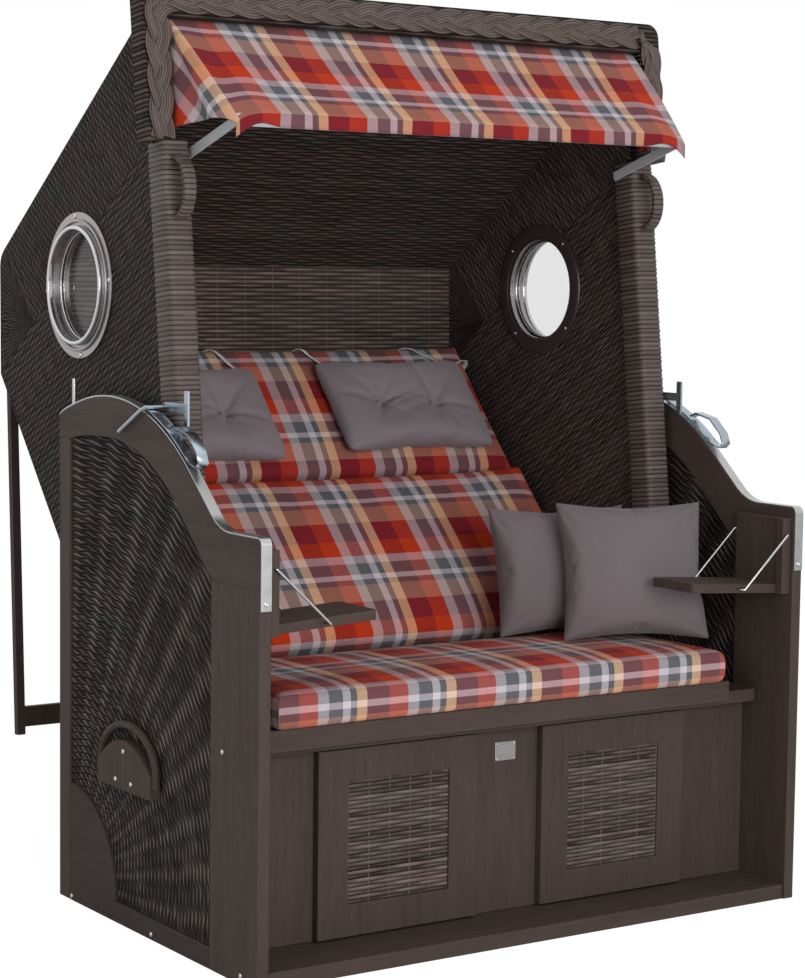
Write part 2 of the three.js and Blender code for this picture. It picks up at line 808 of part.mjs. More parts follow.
function footrest(middle) {
  const half = doorWidth / 2;
  const door = rectangle(middle - half, middle + half, doorFoot, doorFoot + doorHeight);
  const window = rectangle(
    middle - half + doorStile,
    middle + half - doorStile,
    doorFoot + doorRail,
    doorFoot + doorHeight - doorRail,
  );
  door.holes.push(window);
  const benchHalf = panelOpeningWidth / 2 - trayClearance;
  const foot = panelOpeningFoot + seat;
  const top = panelOpeningFoot + panelOpeningHeight - trayClearance;
  const bench = outline([
    [middle - benchHalf, foot],
    [middle - benchHalf + trayWall, foot],
    [middle - benchHalf + trayWall, top - trayWall],
    [middle + benchHalf - trayWall, top - trayWall],
    [middle + benchHalf - trayWall, foot],
    [middle + benchHalf, foot],
    [middle + benchHalf, top],
    [middle - benchHalf, top],
  ]);
  const doorBack = frontPanelFront - seat;
  return join(
    extrudeY(door, doorBack - doorThickness, doorThickness),
    extrudeY(bench, doorBack - overrun, trayDepth + overrun),
  );
}

function doorInsert(middle) {
  const half = doorWidth / 2 - doorStile - seat;
  const doorBack = frontPanelFront - seat;
  return box(
    [middle - half, middle + half],
    [doorBack - doorThickness / 2 - insertThickness / 2, doorBack - doorThickness / 2 + insertThickness / 2],
    [doorFoot + doorRail + seat, doorFoot + doorHeight - doorRail - seat],
  );
}

function footrests() {
  for (const [side, sign] of [
    ["right", 1],
    ["left", -1],
  ]) {
    addMesh(chair, `footrest_${side}`, footrest(sign * footrestMiddle), timber);
    addMesh(chair, `footrest_insert_${side}`, doorInsert(sign * footrestMiddle), wicker);
  }
}

// Hood: every piece below is drawn about the pivot with the posts upright, then leaned back
const hood = new THREE.Group();
hood.position.set(0, pivotBack, pivotHeight);
hood.rotation.x = -hoodLean;
chair.add(hood);

const backUp = [Math.cos(backSlope), Math.sin(backSlope)];
const backOut = [-Math.sin(backSlope), Math.cos(backSlope)];

function roofHeight(back) {
  return roofFrontHeight - (back + postFront) * Math.tan(roofSlope);
}

// A point on the sloping back: run down from the waist and distance inside the outer face
function onBack(run, inside) {
  return [
    hoodWaistBack - run * backUp[0] + inside * backOut[0],
    hoodWaistHeight - run * backUp[1] + inside * backOut[1],
  ];
}

const backFootRun = (hoodWaistHeight + hoodFootDrop) / backUp[1];

// Where a line parallel to the roof meets one parallel to the rear wall, both drawn inside by a distance
function roofMeetsRear(underRoof, insideRear) {
  const wallRun = (hoodWaistBack - hoodRear) / (roofRearHeight - hoodWaistHeight);
  const wallShift = insideRear * Math.hypot(1, wallRun);
  const roofShift = underRoof / Math.cos(roofSlope);
  const slope = Math.tan(roofSlope);
  const fromTop = hoodRear - wallShift;
  const level = roofRearHeight - roofShift + wallShift * slope;
  const height = level + ((roofRearHeight - level) * wallRun * slope) / (1 + wallRun * slope);
  return [fromTop + (roofRearHeight - height) * wallRun, height];
}

// Where a line parallel to the sloping back meets one parallel to the rear wall
function backMeetsRear(insideBack, insideRear) {
  const wallRun = (hoodWaistBack - hoodRear) / (roofRearHeight - hoodWaistHeight);
  const wallShift = insideRear * Math.hypot(1, wallRun);
  const start = onBack(0, insideBack);
  const startGap = hoodWaistBack - wallShift - start[0] - (start[1] - hoodWaistHeight) * wallRun;
  const run = startGap / (backUp[0] + wallRun * backUp[1]);
  return [start[0] + run * backUp[0], start[1] + run * backUp[1]];
}

function hoodSide() {
  const collarTopBack = collarBack + seat;
  const postMiddle = -postFront + postDepth / 2;
  const shoulder = roofMeetsRear(0, 0);
  const cutBack = hoodShoulderRadius;
  const beforeShoulder = [
    shoulder[0] - cutBack * Math.cos(roofSlope),
    shoulder[1] + cutBack * Math.sin(roofSlope),
  ];
  const afterShoulder = [shoulder[0], shoulder[1] - cutBack];
  const foot = onBack(backFootRun, 0);
  const shape = outline([
    [postMiddle, postFoot + postDepth],
    [postMiddle, collarLegFoot - seat],
    [collarTopBack, collarLegFoot - seat],
    [collarTopBack, roofHeight(collarTopBack)],
    ...quadraticPoints(beforeShoulder, shoulder, afterShoulder, 6),
    [hoodWaistBack, hoodWaistHeight],
    foot,
    ...quadraticPoints(
      [foot[0] - hoodFootWidth, -hoodFootDrop],
      [-postFront + postDepth, -hoodFootDrop],
      [postMiddle, postFoot],
      8,
    ),
  ]);
  shape.holes.push(circleHole([porthole.back, porthole.height], portholeRadius, 48));
  shape.holes.push(circleHole([0, 0], pivotRadius + seat, 24));
  const plate = extrudeX(shape, hoodInner, hoodSideThickness);
  const post = extrudeZ(
    rectangle(hoodHalfWidth - postWidth, hoodHalfWidth, -postFront, -postFront + postDepth, postRadius),
    postFoot,
    collarLegFoot - seat - postFoot,
  );
  const collarRoom = box(
    [hoodHalfWidth - postWidth - overrun, hoodHalfWidth + overrun],
    [-postFront - overrun, collarBack + seat],
    [collarLegFoot - seat, collarTop],
  );
  return cut(join(plate, post), collarRoom);
}

function collar() {
  const half = collarHalfWidth;
  const innerHalf = collarHalfWidth - collarLegWidth;
  const innerTop = collarTop - collarBarHeight;
  const shape = outline([
    [-half, collarLegFoot],
    [-innerHalf, collarLegFoot],
    [-innerHalf, innerTop],
    [innerHalf, innerTop],
    [innerHalf, collarLegFoot],
    [half, collarLegFoot],
    ...arcPoints([half - collarRadius, collarTop - collarRadius], collarRadius, 0, Math.PI / 2, 6),
    ...arcPoints([-half + collarRadius, collarTop - collarRadius], collarRadius, Math.PI / 2, Math.PI, 6),
  ]);
  return extrudeY(shape, -postFront - collarProud, collarDepth);
}

function betweenSides(points) {
  return extrudeX(outline(points), -hoodInner + seat, 2 * (hoodInner - seat));
}

function roof() {
  const front = collarBack + seat;
  const depth = wallInset + wallThickness;
  const drop = 1 / Math.cos(roofSlope);
  return betweenSides([
    [front, roofHeight(front) - wallInset * drop],
    [front, roofHeight(front) - depth * drop],
    roofMeetsRear(depth, wallInset),
    roofMeetsRear(wallInset, wallInset),
  ]);
}

// The rear wall, with a lug and a pin on each side for the support frame
function rearWall() {
  const depth = wallInset + wallThickness;
  const wall = betweenSides([
    roofMeetsRear(depth + seat, wallInset),
    roofMeetsRear(depth + seat, depth),
    backMeetsRear(depth + seat, depth),
    backMeetsRear(depth + seat, wallInset),
  ]);
  const pieces = [wall];
  const { back, height } = supportHinge;
  const lugInside = supportOutside - supportBar - seat - lugThickness;
  for (const sign of [-1, 1]) {
    const tip = arcPoints([back, height], lugRadius, -Math.PI / 2, Math.PI / 2, 8);
    const inWall = hoodWaistBack - wallThickness / 2 - wallInset;
    const wallFoot = backMeetsRear(depth + seat, wallInset)[1] + hingePinRadius;
    const lugShape = outline([[inWall, wallFoot], ...tip, [inWall, height + lugRadius * 1.8]]);
    const start = sign > 0 ? lugInside : -lugInside - lugThickness;
    pieces.push(extrudeX(lugShape, start, lugThickness));
    const from = sign > 0 ? lugInside + lugThickness / 2 : -supportOutside;
    const to = sign > 0 ? supportOutside : -lugInside - lugThickness / 2;
    pieces.push(cylinderX(hingePinRadius, from, to, back, height, 16));
  }
  return join(...pieces);
}

function slopingBack() {
  const depth = wallInset + wallThickness;
  return betweenSides([
    backMeetsRear(wallInset, wallInset),
    backMeetsRear(depth, wallInset),
    onBack(backFootRun, depth),
    onBack(backFootRun, wallInset),
  ]);
}

// A flanged tube through the hood's side, turned about its own axis along X
function portholeRing() {
  const hole = portholeRadius - seat;
  const bore = hole - portholeTube;
  const half = hoodSideThickness / 2 + seat;
  const profile = [
    [bore, -half - flangeThickness],
    [flangeRadius, -half - flangeThickness],
    [flangeRadius, -half],
    [hole, -half],
    [hole, half],
    [flangeRadius, half],
    [flangeRadius, half + flangeThickness],
    [bore, half + flangeThickness],
    [bore, -half - flangeThickness],
  ].map(([a, b]) => new THREE.Vector2(a, b));
  return new THREE.LatheGeometry(profile, 48).rotateZ(-Math.PI / 2);
}

function portholePane() {
  const radius = portholeRadius - portholeTube - 2 * seat;
  return new THREE.CylinderGeometry(radius, radius, paneThickness, 48).rotateZ(Math.PI / 2);
}

function gripLoop() {
  const face = -postFront - seat;
  const outer = arcPoints([0, 0], 1, Math.PI / 2, 1.5 * Math.PI, 14);
  const inner = outer.slice().reverse();
  const shape = outline([
    ...outer.map(([a, b]) => [face + loopReach * a, loopMiddle + (loopHeight / 2) * b]),
    ...inner.map(([a, b]) => [
      face + (loopReach - loopThickness) * a,
      loopMiddle + (loopHeight / 2 - loopThickness) * b,
    ]),
  ]);
  const middle = hoodHalfWidth - postWidth / 2;
  return extrudeX(shape, middle - loopWidth / 2, loopWidth);
}

// Latch: its place on the arc is given as if the hood had no lean, so it is drawn in the chair's frame

function arcPlace(radius, angle) {
  return [pivotBack + radius * Math.cos(angle), pivotHeight + radius * Math.sin(angle)];
}

const latchRadius = arcRadius + seat + slideRailThickness + latchClearance + latchStripThickness / 2;
const latchPivotRadius = latchRadius + latchStripThickness / 2 + latchRodRadius + seat;

// A rod from the hood's side over the arm, bent down outside it, and a plate with an upright bar
function latchBracket() {
  const [back, height] = arcPlace(latchPivotRadius, latchPivotAngle);
  const inner = hoodHalfWidth + seat;
  const outer = sideOuter + latchLeverReach;
  const rod = bentBar(
    [
      [inner, back, height],
      [outer - latchRodRadius, back, height],
      [
        outer,
        back + (latchLeverLength / 8) * Math.cos(latchLeverSlope),
        height - (latchLeverLength / 8) * Math.sin(latchLeverSlope),
      ],
      [
        outer,
        back + latchLeverLength * Math.cos(latchLeverSlope),
        height - latchLeverLength * Math.sin(latchLeverSlope),
      ],
    ],
    latchRodRadius,
  );
  const forward = back - latchBarForward;
  const plate = box(
    [inner, inner + latchPlateThickness],
    [forward, back + 2 * latchRodRadius],
    [height - 2 * latchRodRadius, height + 2 * latchRodRadius],
  );
  const bar = box(
    [inner, inner + latchPlateThickness],
    [forward - latchBarWidth / 2, forward + latchBarWidth / 2],
    [height - latchBarHeight / 2, height + latchBarHeight / 2],
  );
  return join(rod, plate, bar);
}

// A strip that lies along the arm's rail and turns back on itself in a finger loop
function latchStrip() {
  const strip = arcPoints([pivotBack, pivotHeight], latchRadius, latchPivotAngle, latchStripEndAngle, 8);
  const sweep = latchStripEndAngle - latchPivotAngle;
  const loopShares = [
    [1.08, 0.06],
    [1.2, 0.35],
    [1.21, 0.7],
    [1.1, 0.95],
    [0.86, 1],
    [0.62, 0.55],
    [0.56, 0.16],
  ];
  const loop = loopShares.map(([angleShare, riseShare]) => {
    return arcPlace(latchRadius + latchLoopHeight * riseShare, latchPivotAngle + sweep * angleShare);
  });
  const middle = sideOuter - panelThickness / 2;
  return extrudeX(
    bandOutline([...strip, ...loop], latchStripThickness),
    middle - latchStripWidth / 2,
    latchStripWidth,
  );
}

function supportFrame() {
  const legOutside = supportOutside;
  const legInside = supportOutside - supportBar;
  const legFoot = -supportLength;
  const crossLow = legFoot + supportCrossFoot;
  const half = supportBar / 2;
  const top = arcPoints([0, 0], half, 0, Math.PI, 6);
  const legShape = outline([[-half, legFoot], [half, legFoot], ...top]);
  legShape.holes.push(circleHole([0, 0], hingePinRadius + seat, 16));
  const cross = box([-legOutside, legOutside], [-half, half], [crossLow, crossLow + supportCrossHeight]);
  return join(
    extrudeX(legShape, legInside, supportBar),
    extrudeX(legShape, -legOutside, supportBar),
    cross,
  );
}

// Awning frame and cloth

const armReach = awningArmLength * Math.cos(awningArmRise);
const armRise = awningArmLength * Math.sin(awningArmRise);
const hemBack = awningPivot.back - armReach;
const hemHeight = awningPivot.height + armRise;

function awningFrame() {
  const end = [hemBack, hemHeight];
  const armLine = [
    [awningPivot.back, awningPivot.height],
    [(awningPivot.back + end[0]) / 2, (awningPivot.height + end[1]) / 2],
    end,
  ];
  const arm = bandOutline(armLine, awningArmWidth);
  const bar = box(
    [-awningHalfWidth, awningHalfWidth],
    [hemBack - awningBarDepth, hemBack],
    [hemHeight - awningBarHeight / 2, hemHeight + awningBarHeight / 2],
  );
  const pieces = [bar];
  for (const sign of [-1, 1]) {
    const start = sign > 0 ? awningHalfWidth - awningArmThickness : -awningHalfWidth;
    pieces.push(extrudeX(arm, start, awningArmThickness));
    const postFace = hoodHalfWidth - postWidth - seat;
    const from = sign > 0 ? awningHalfWidth - awningArmThickness / 2 : -postFace;
    const to = sign > 0 ? postFace : -awningHalfWidth + awningArmThickness / 2;
    pieces.push(cylinderX(hingePinRadius, from, to, awningPivot.back, awningPivot.height, 16));
  }
  return join(...pieces);
}

// One sheet: a gusset on each side and a sloping top that turns down over the front bar
function awningCloth() {
  const topBack = -postFront + collarDepth / 3;
  const topHeight = collarTop - collarBarHeight - clothThickness;
  const legFace = collarHalfWidth - collarLegWidth - clothThickness;
  const frontBack = hemBack - awningBarDepth - clothClearance;
  const frontHeight = hemHeight + awningBarHeight / 2 + clothClearance;
  const ridgeHalf = awningHalfWidth + clothClearance + clothThickness;
  const gussetSteps = 3;
  const topSteps = 22;
  const across = topSteps + 2 * gussetSteps;
  const slopeSteps = 9;
  const hemSteps = 2;
  const rows = slopeSteps + hemSteps;

  function ridge(v) {
    return [
      clothTopHalfWidth + (ridgeHalf - clothTopHalfWidth) * v,
      topBack + (frontBack - topBack) * v,
      topHeight + (frontHeight - topHeight) * v,
    ];
  }

  function point(i, j) {
    const v = Math.min(1, j / slopeSteps);
    const hem = Math.max(0, (j - slopeSteps) / hemSteps);
    const [half, back, height] = ridge(v);
    const left = i < gussetSteps;
    const right = i > gussetSteps + topSteps;
    if (left || right) {
      const share = left ? i / gussetSteps : (across - i) / gussetSteps;
      const outer = [legFace, topBack, topHeight - clothGussetDrop * v];
      const x = outer[0] + (half - outer[0]) * share;
      const fold = clothSag * Math.sin(Math.PI * share) * v;
      return [
        (left ? -1 : 1) * (x - fold),
        outer[1] + (back - outer[1]) * share,
        outer[2] + (height - outer[2]) * share - clothHemDrop * hem * share,
      ];
    }
    const s = (i - gussetSteps) / topSteps;
    const flat = 4 * s * (1 - s);
    const sag = clothSag * Math.sin(Math.PI * v) * flat ** 0.5;
    return [(2 * s - 1) * half, back + sag * 0.5, height - sag - clothHemDrop * hem];
  }

  const position = [];
  const index = [];
  const grid = (i, j, skin) => (skin * (rows + 1) + j) * (across + 1) + i;
  const place = (i, j) => new THREE.Vector3(...point(i, j));
  for (const skin of [0, 1])
    for (let j = 0; j <= rows; j += 1)
      for (let i = 0; i <= across; i += 1) {
        const here = place(i, j);
        const alongX = place(Math.min(i + 1, across), j).sub(place(Math.max(i - 1, 0), j));
        const alongV = place(i, Math.min(j + 1, rows)).sub(place(i, Math.max(j - 1, 0)));
        const normal = alongV.cross(alongX).normalize();
        const shift = skin === 0 ? 0 : clothThickness;
        position.push(...here.add(normal.multiplyScalar(shift)).toArray());
      }
  for (let j = 0; j < rows; j += 1)
    for (let i = 0; i < across; i += 1) {
      const inner = [grid(i, j, 0), grid(i + 1, j, 0), grid(i + 1, j + 1, 0), grid(i, j + 1, 0)];
      const outer = [grid(i, j, 1), grid(i, j + 1, 1), grid(i + 1, j + 1, 1), grid(i + 1, j, 1)];
      for (const q of [inner, outer]) index.push(q[0], q[1], q[2], q[0], q[2], q[3]);
    }
  const rim = [];
  for (let i = 0; i < across; i += 1) rim.push([i, 0]);
  for (let j = 0; j < rows; j += 1) rim.push([across, j]);
  for (let i = across; i > 0; i -= 1) rim.push([i, rows]);
  for (let j = rows; j > 0; j -= 1) rim.push([0, j]);
  rim.forEach(([i, j], k) => {
    const [p, q] = rim[(k + 1) % rim.length];
    const a = grid(i, j, 0);
    const b = grid(p, q, 0);
    const c = grid(p, q, 1);
    const d = grid(i, j, 1);
    index.push(a, d, c, a, c, b);
  });
  return new THREE.BufferGeometry()
    .setAttribute("position", new THREE.Float32BufferAttribute(position, 3))
    .setIndex(index);
}

function hoodPieces() {
  for (const [side, sign] of [
    ["right", 1],
    ["left", -1],
  ]) {
    const group = new THREE.Group();
    group.scale.x = sign;
    hood.add(group);
    addMesh(group, `hood_side_${side}`, hoodSide(), wicker);
    const middle = hoodHalfWidth - hoodSideThickness / 2;
    const ring = addMesh(group, `porthole_ring_${side}`, portholeRing(), aluminium);
    ring.position.set(middle, porthole.back, porthole.height);
    const pane = addMesh(group, `porthole_pane_${side}`, portholePane(), glass);
    pane.position.set(middle, porthole.back, porthole.height);
    addMesh(group, `grip_loop_${side}`, gripLoop(), wicker);
    const latches = new THREE.Group();
    latches.scale.x = sign;
    chair.add(latches);
    addMesh(latches, `latch_bracket_${side}`, latchBracket(), zinc);
    addMesh(latches, `latch_strip_${side}`, latchStrip(), zinc);
  }
  addMesh(hood, "hood_collar", collar(), wicker);
  addMesh(hood, "hood_roof", roof(), wicker);
  addMesh(hood, "hood_rear_wall", rearWall(), wicker);
  addMesh(hood, "hood_sloping_back", slopingBack(), wicker);
  const support = addMesh(hood, "support_frame", supportFrame(), timber);
  support.position.set(0, supportHinge.back, supportHinge.height);
  support.rotation.x = hoodLean - supportLean;
  addMesh(hood, "awning_frame", awningFrame(), aluminium);
  addMesh(hood, "awning_cloth", awningCloth(), plaid);
}

// Cushions

// Lays a cushion on the sloping back, its foot edge at a run down from the waist
function onSlope(mesh, across, footRun, above) {
  const depth = wallInset + wallThickness + seat + above;
  const [back, height] = onBack(footRun, depth);
  mesh.position.set(across, back, height);
  mesh.rotation.x = backSlope;
}

function cushions() {
  const { leftSetback, rightSetback, depth, thickness, frontOverhang } = seatCushion;
  const width = 2 * hoodInner - leftSetback - rightSetback;
  const bench = addMesh(chair, "seat_cushion", boxCushion(width, depth, thickness), plaid);
  const railFront = sideFront + seatFrameFront - seatRailThickness;
  bench.position.set((leftSetback - rightSetback) / 2, railFront - frontOverhang, deckTop + seat);

  const headFoot = headCushionTop + headCushion.length;
  const head = addMesh(
    hood,
    "head_cushion",
    boxCushion(cushionWidth, headCushion.length, headCushion.thickness),
    plaid,
  );
  onSlope(head, 0, headFoot, 0);
  const main = addMesh(
    hood,
    "back_cushion",
    boxCushion(cushionWidth, mainCushion.length, mainCushion.thickness, mainCushion.footThickness),
    plaid,
  );
  onSlope(main, 0, headFoot + seat + mainCushion.length, 0);

  const pillowRise = headCushion.thickness * (1 + 1 / 14) + seat + neckPillow.thickness / 2;
  for (const [side, sign] of [
    ["right", 1],
    ["left", -1],
  ]) {
    const { outShare, foot, sink } = neckPillowPlaces[side];
    const pillow = addMesh(
      hood,
      `neck_pillow_${side}`,
      loosePillow(neckPillowWidth, neckPillow.length, neckPillow.thickness, [0.32, 0.7]),
      greyFabric,
    );
    const run = headFoot - foot - neckPillow.length / 2;
    onSlope(pillow, (sign * outShare * cushionWidth) / 2, run, pillowRise - sink);
  }

  for (const place of ["front", "rear"]) {
    const { fromSide, back, lift, turn } = throwPillowPlaces[place];
    const stand = new THREE.Group();
    const rise = (throwPillow.height / 2) * Math.cos(throwPillowLean) + lift;
    stand.position.set(hoodInner - fromSide, back, deckTop + seatCushion.thickness + rise);
    stand.rotation.z = turn;
    chair.add(stand);
    const pillow = addMesh(
      stand,
      `throw_pillow_${place}`,
      loosePillow(throwPillow.width, throwPillow.height, throwPillow.thickness, []),
      greyFabric,
    );
    pillow.rotation.x = Math.PI / 2 - throwPillowLean;
  }
}

sidePanel("right", 1);
sidePanel("left", -1);
base();
footrests();
hoodPieces();
cushions();

export default chair;
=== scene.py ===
import math

import bpy
from mathutils import Matrix, Vector


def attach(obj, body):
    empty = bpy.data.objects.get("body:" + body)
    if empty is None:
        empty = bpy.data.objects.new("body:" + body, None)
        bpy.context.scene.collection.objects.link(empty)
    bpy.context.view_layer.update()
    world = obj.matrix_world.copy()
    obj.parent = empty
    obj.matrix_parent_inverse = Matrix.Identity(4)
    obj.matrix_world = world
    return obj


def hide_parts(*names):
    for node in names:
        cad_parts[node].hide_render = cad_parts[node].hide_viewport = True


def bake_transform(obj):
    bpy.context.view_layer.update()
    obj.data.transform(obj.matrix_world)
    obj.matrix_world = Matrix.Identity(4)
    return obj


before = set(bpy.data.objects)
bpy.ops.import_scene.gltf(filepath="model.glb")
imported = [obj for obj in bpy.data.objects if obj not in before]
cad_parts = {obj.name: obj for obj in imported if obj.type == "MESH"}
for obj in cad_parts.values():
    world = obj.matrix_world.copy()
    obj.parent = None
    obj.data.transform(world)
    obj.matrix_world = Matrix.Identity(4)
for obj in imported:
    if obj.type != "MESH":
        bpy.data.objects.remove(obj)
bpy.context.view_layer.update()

# Studio: a pale floor under soft light, seen from the chair's front left, a little above the seat.
# The walls are plain white, so the metal and the panes have something to mirror.

scene = bpy.context.scene
scene.view_settings.view_transform = "Standard"

camera_spot = (-2.5892, -3.7753, 1.1986)
camera_pan, camera_tilt, camera_roll = -33.715, -5.126, -0.710
camera_data = bpy.data.cameras.new("camera")
camera_data.lens = 88.93
camera_data.clip_end = 50
camera = bpy.data.objects.new("camera", camera_data)
scene.collection.objects.link(camera)
pan = Matrix.Rotation(math.radians(camera_pan), 3, "Z")
tilt = Matrix.Rotation(math.radians(camera_tilt), 3, "X")
roll = Matrix.Rotation(math.radians(camera_roll), 3, "Y")
looking = pan @ tilt @ roll
turned = Matrix((looking.col[0], looking.col[2], -looking.col[1])).transposed().to_4x4()
camera.matrix_world = Matrix.Translation(camera_spot) @ turned
scene.camera = camera


def place(tree, kind, inputs=None, **settings):
    made = tree.nodes.new(kind)
    for name, value in settings.items():
        setattr(made, name, value)
    for key, value in (inputs or {}).items():
        if isinstance(value, bpy.types.NodeSocket):
            tree.links.new(value, made.inputs[key])
        else:
            made.inputs[key].default_value = value
    return made


def reckon(tree, operation, *values):
    return place(tree, "ShaderNodeMath", dict(enumerate(values)), operation=operation).outputs[0]


def ranged(tree, value, low=0.0, high=1.0, to_low=0.0, to_high=1.0):
    ends = {"Value": value, "From Min": low, "From Max": high, "To Min": to_low, "To Max": to_high}
    return place(tree, "ShaderNodeMapRange", ends).outputs[0]


def linear(colour):
    shares = [int(colour[i : i + 2], 16) / 255 for i in (0, 2, 4)]
    return [s / 12.92 if s <= 0.04045 else ((s + 0.055) / 1.055) ** 2.4 for s in shares] + [1.0]


light_on_chair = 0.43
world = bpy.data.worlds.new("studio")
scene.world = world
world.use_nodes = True
sky = world.node_tree
sky.nodes.clear()
seen = place(sky, "ShaderNodeLightPath").outputs
mirrored = reckon(sky, "MAXIMUM", seen["Is Camera Ray"], seen["Is Glossy Ray"])
white = reckon(sky, "MAXIMUM", mirrored, seen["Is Transmission Ray"])
strength = ranged(sky, white, to_low=light_on_chair)
glow = place(sky, "ShaderNodeBackground", {"Color": (1, 1, 1, 1), "Strength": strength})
place(sky, "ShaderNodeOutputWorld", {"Surface": glow.outputs[0]})


def soft_lamp(name, at, towards, size, power):
    lamp = bpy.data.lights.new(name, "AREA")
    lamp.shape = "RECTANGLE"
    lamp.size, lamp.size_y = size
    lamp.energy = power
    made = bpy.data.objects.new(name, lamp)
    made.location = at
    made.rotation_mode = "QUATERNION"
    made.rotation_quaternion = (Vector(towards) - Vector(at)).to_track_quat("-Z", "Y")
    made.visible_camera = False
    scene.collection.objects.link(made)


soft_lamp("front_lamp", at=(-0.6, -4.6, 1.5), towards=(0, 0, 0.8), size=(2.6, 1.8), power=103)
soft_lamp("left_lamp", at=(-4.2, -1.4, 1.8), towards=(0, 0, 0.8), size=(2.0, 2.0), power=21)
soft_lamp("top_lamp", at=(0.2, -0.8, 4.2), towards=(0, 0.2, 0), size=(2.6, 2.6), power=10)


def plain_mesh(name, points, faces, look):
    mesh = bpy.data.meshes.new(name)
    mesh.from_pydata(points, [], faces)
    mesh.polygons.foreach_set("use_smooth", [True] * len(mesh.polygons))
    mesh.materials.append(look)
    made = bpy.data.objects.new(name, mesh)
    scene.collection.objects.link(made)
    return made


floor_half = 9
floor_glow = 1.26
glow_share = 0.72
paper = bpy.data.materials.new("studio_paper")
paper.use_nodes = True
sheet = paper.node_tree
sheet.nodes.clear()
eye = place(sheet, "ShaderNodeLightPath")
matt = place(sheet, "ShaderNodeBsdfDiffuse", {"Color": (0.9, 0.9, 0.9, 1)})
lit = place(sheet, "ShaderNodeEmission", {"Color": (1, 1, 1, 1), "Strength": floor_glow})
share = reckon(sheet, "MULTIPLY", eye.outputs["Is Camera Ray"], glow_share)
both = place(sheet, "ShaderNodeMixShader", {0: share, 1: matt.outputs[0], 2: lit.outputs[0]})
place(sheet, "ShaderNodeOutputMaterial", {"Surface": both.outputs[0]})
floor_corners = [(floor_half * x, floor_half * y, 0) for x, y in ((-1, -1), (1, -1), (1, 1), (-1, 1))]
plain_mesh("studio_floor", floor_corners, [(0, 1, 2, 3)], paper)

# Side panels: curved arm boards, stiles and bottom rails of solid wood under dark brown paint.
# The grain still shows faintly through the paint, along each board; the sharp edges are eased.


def times(tree, first, second):
    return reckon(tree, "MULTIPLY", first, second)


def plus(tree, first, second):
    return reckon(tree, "ADD", first, second)


def minus(tree, first, second):
    return reckon(tree, "SUBTRACT", first, second)


def noise(tree, at, scale, detail, rough=0.5):
    inputs = {"Vector": at, "Scale": scale, "Detail": detail, "Roughness": rough}
    return place(tree, "ShaderNodeTexNoise", inputs).outputs["Fac"]


def blended(tree, factor, first, second):
    made = place(tree, "ShaderNodeMix", data_type="RGBA")
    for socket, value in (("Factor_Float", factor), ("A_Color", first), ("B_Color", second)):
        found = next(s for s in made.inputs if s.identifier == socket)
        if isinstance(value, bpy.types.NodeSocket):
            tree.links.new(value, found)
        else:
            found.default_value = value
    return next(s for s in made.outputs if s.identifier == "Result_Color")


def group(name, takes, gives):
    made = bpy.data.node_groups.new(name, "ShaderNodeTree")
    for socket, (kind, value) in takes.items():
        put = made.interface.new_socket(socket, in_out="INPUT", socket_type="NodeSocket" + kind)
        if value is not None:
            put.default_value = value
    for socket, kind in gives.items():
        made.interface.new_socket(socket, in_out="OUTPUT", socket_type="NodeSocket" + kind)
    start = made.nodes.new("NodeGroupInput")
    end = made.nodes.new("NodeGroupOutput")
    return made, start.outputs, end


def give(tree, end, **results):
    for socket, result in results.items():
        tree.links.new(result, end.inputs[socket])


brown_paint, brown_in_grain = "4e423d", "403530"
# A darker copy of the brown paint for the bottom rails, corner blocks included: painted shade low under
# the arms.
shaded_paint, shaded_in_grain = "433835", "372e2a"
across_grain, along_grain = 9, 0.7

painted, taken, given = group(
    "painted_grain",
    {
        "Place": ("Vector", None),
        "Paint": ("Color", linear(brown_paint)),
        "Deep": ("Color", linear(brown_in_grain)),
    },
    {"Colour": "Color", "Roughness": "Float", "Height": "Float"},
)
streaks = ranged(painted, noise(painted, taken["Place"], 9.0, 5.0, 0.65), 0.38, 0.66)
pores = ranged(painted, noise(painted, taken["Place"], 62.0, 3.0), 0.5, 0.72)
clouds = ranged(painted, noise(painted, taken["Place"], 1.3, 2.0), 0.35, 0.65, -0.15, 0.2)
depth = plus(painted, times(painted, streaks, 0.5), times(painted, pores, 0.35))
depth = plus(painted, depth, clouds)
give(
    painted,
    given,
    Colour=blended(painted, depth, taken["Paint"], taken["Deep"]),
    Roughness=ranged(painted, depth, to_low=0.5, to_high=0.66),
    Height=minus(painted, 1.0, depth),
)


def material(name, metallic=0.0, **constants):
    made = bpy.data.materials.new(name)
    made.use_nodes = True
    shader = made.node_tree.nodes["Principled BSDF"]
    shader.inputs["Metallic"].default_value = metallic
    for socket, value in constants.items():
        shader.inputs[socket.replace("_", " ")].default_value = value
    return made, made.node_tree, shader


def use(tree, effect, **inputs):
    return place(tree, "ShaderNodeGroup", inputs, node_tree=effect).outputs


def relief(tree, shader, height, distance, strength=1.0):
    bump = place(tree, "ShaderNodeBump", {"Height": height, "Distance": distance, "Strength": strength})
    tree.links.new(bump.outputs["Normal"], shader.inputs["Normal"])


def on_object(tree):
    return place(tree, "ShaderNodeTexCoord").outputs["Object"]


def stretched(tree, scale, turn=(0, 0, 0), shift=(0, 0, 0)):
    inputs = {"Vector": on_object(tree), "Scale": scale, "Rotation": turn, "Location": shift}
    return place(tree, "ShaderNodeMapping", inputs).outputs[0]


def painted_wood(name, scale, paint=brown_paint, deep=brown_in_grain):
    made, tree, shader = material(name, Specular_IOR_Level=0.14)
    coat = use(tree, painted, Place=stretched(tree, scale), Paint=linear(paint), Deep=linear(deep))
    tree.links.new(coat["Colour"], shader.inputs["Base Color"])
    tree.links.new(coat["Roughness"], shader.inputs["Roughness"])
    relief(tree, shader, coat["Height"], 0.0004, 0.5)
    return made


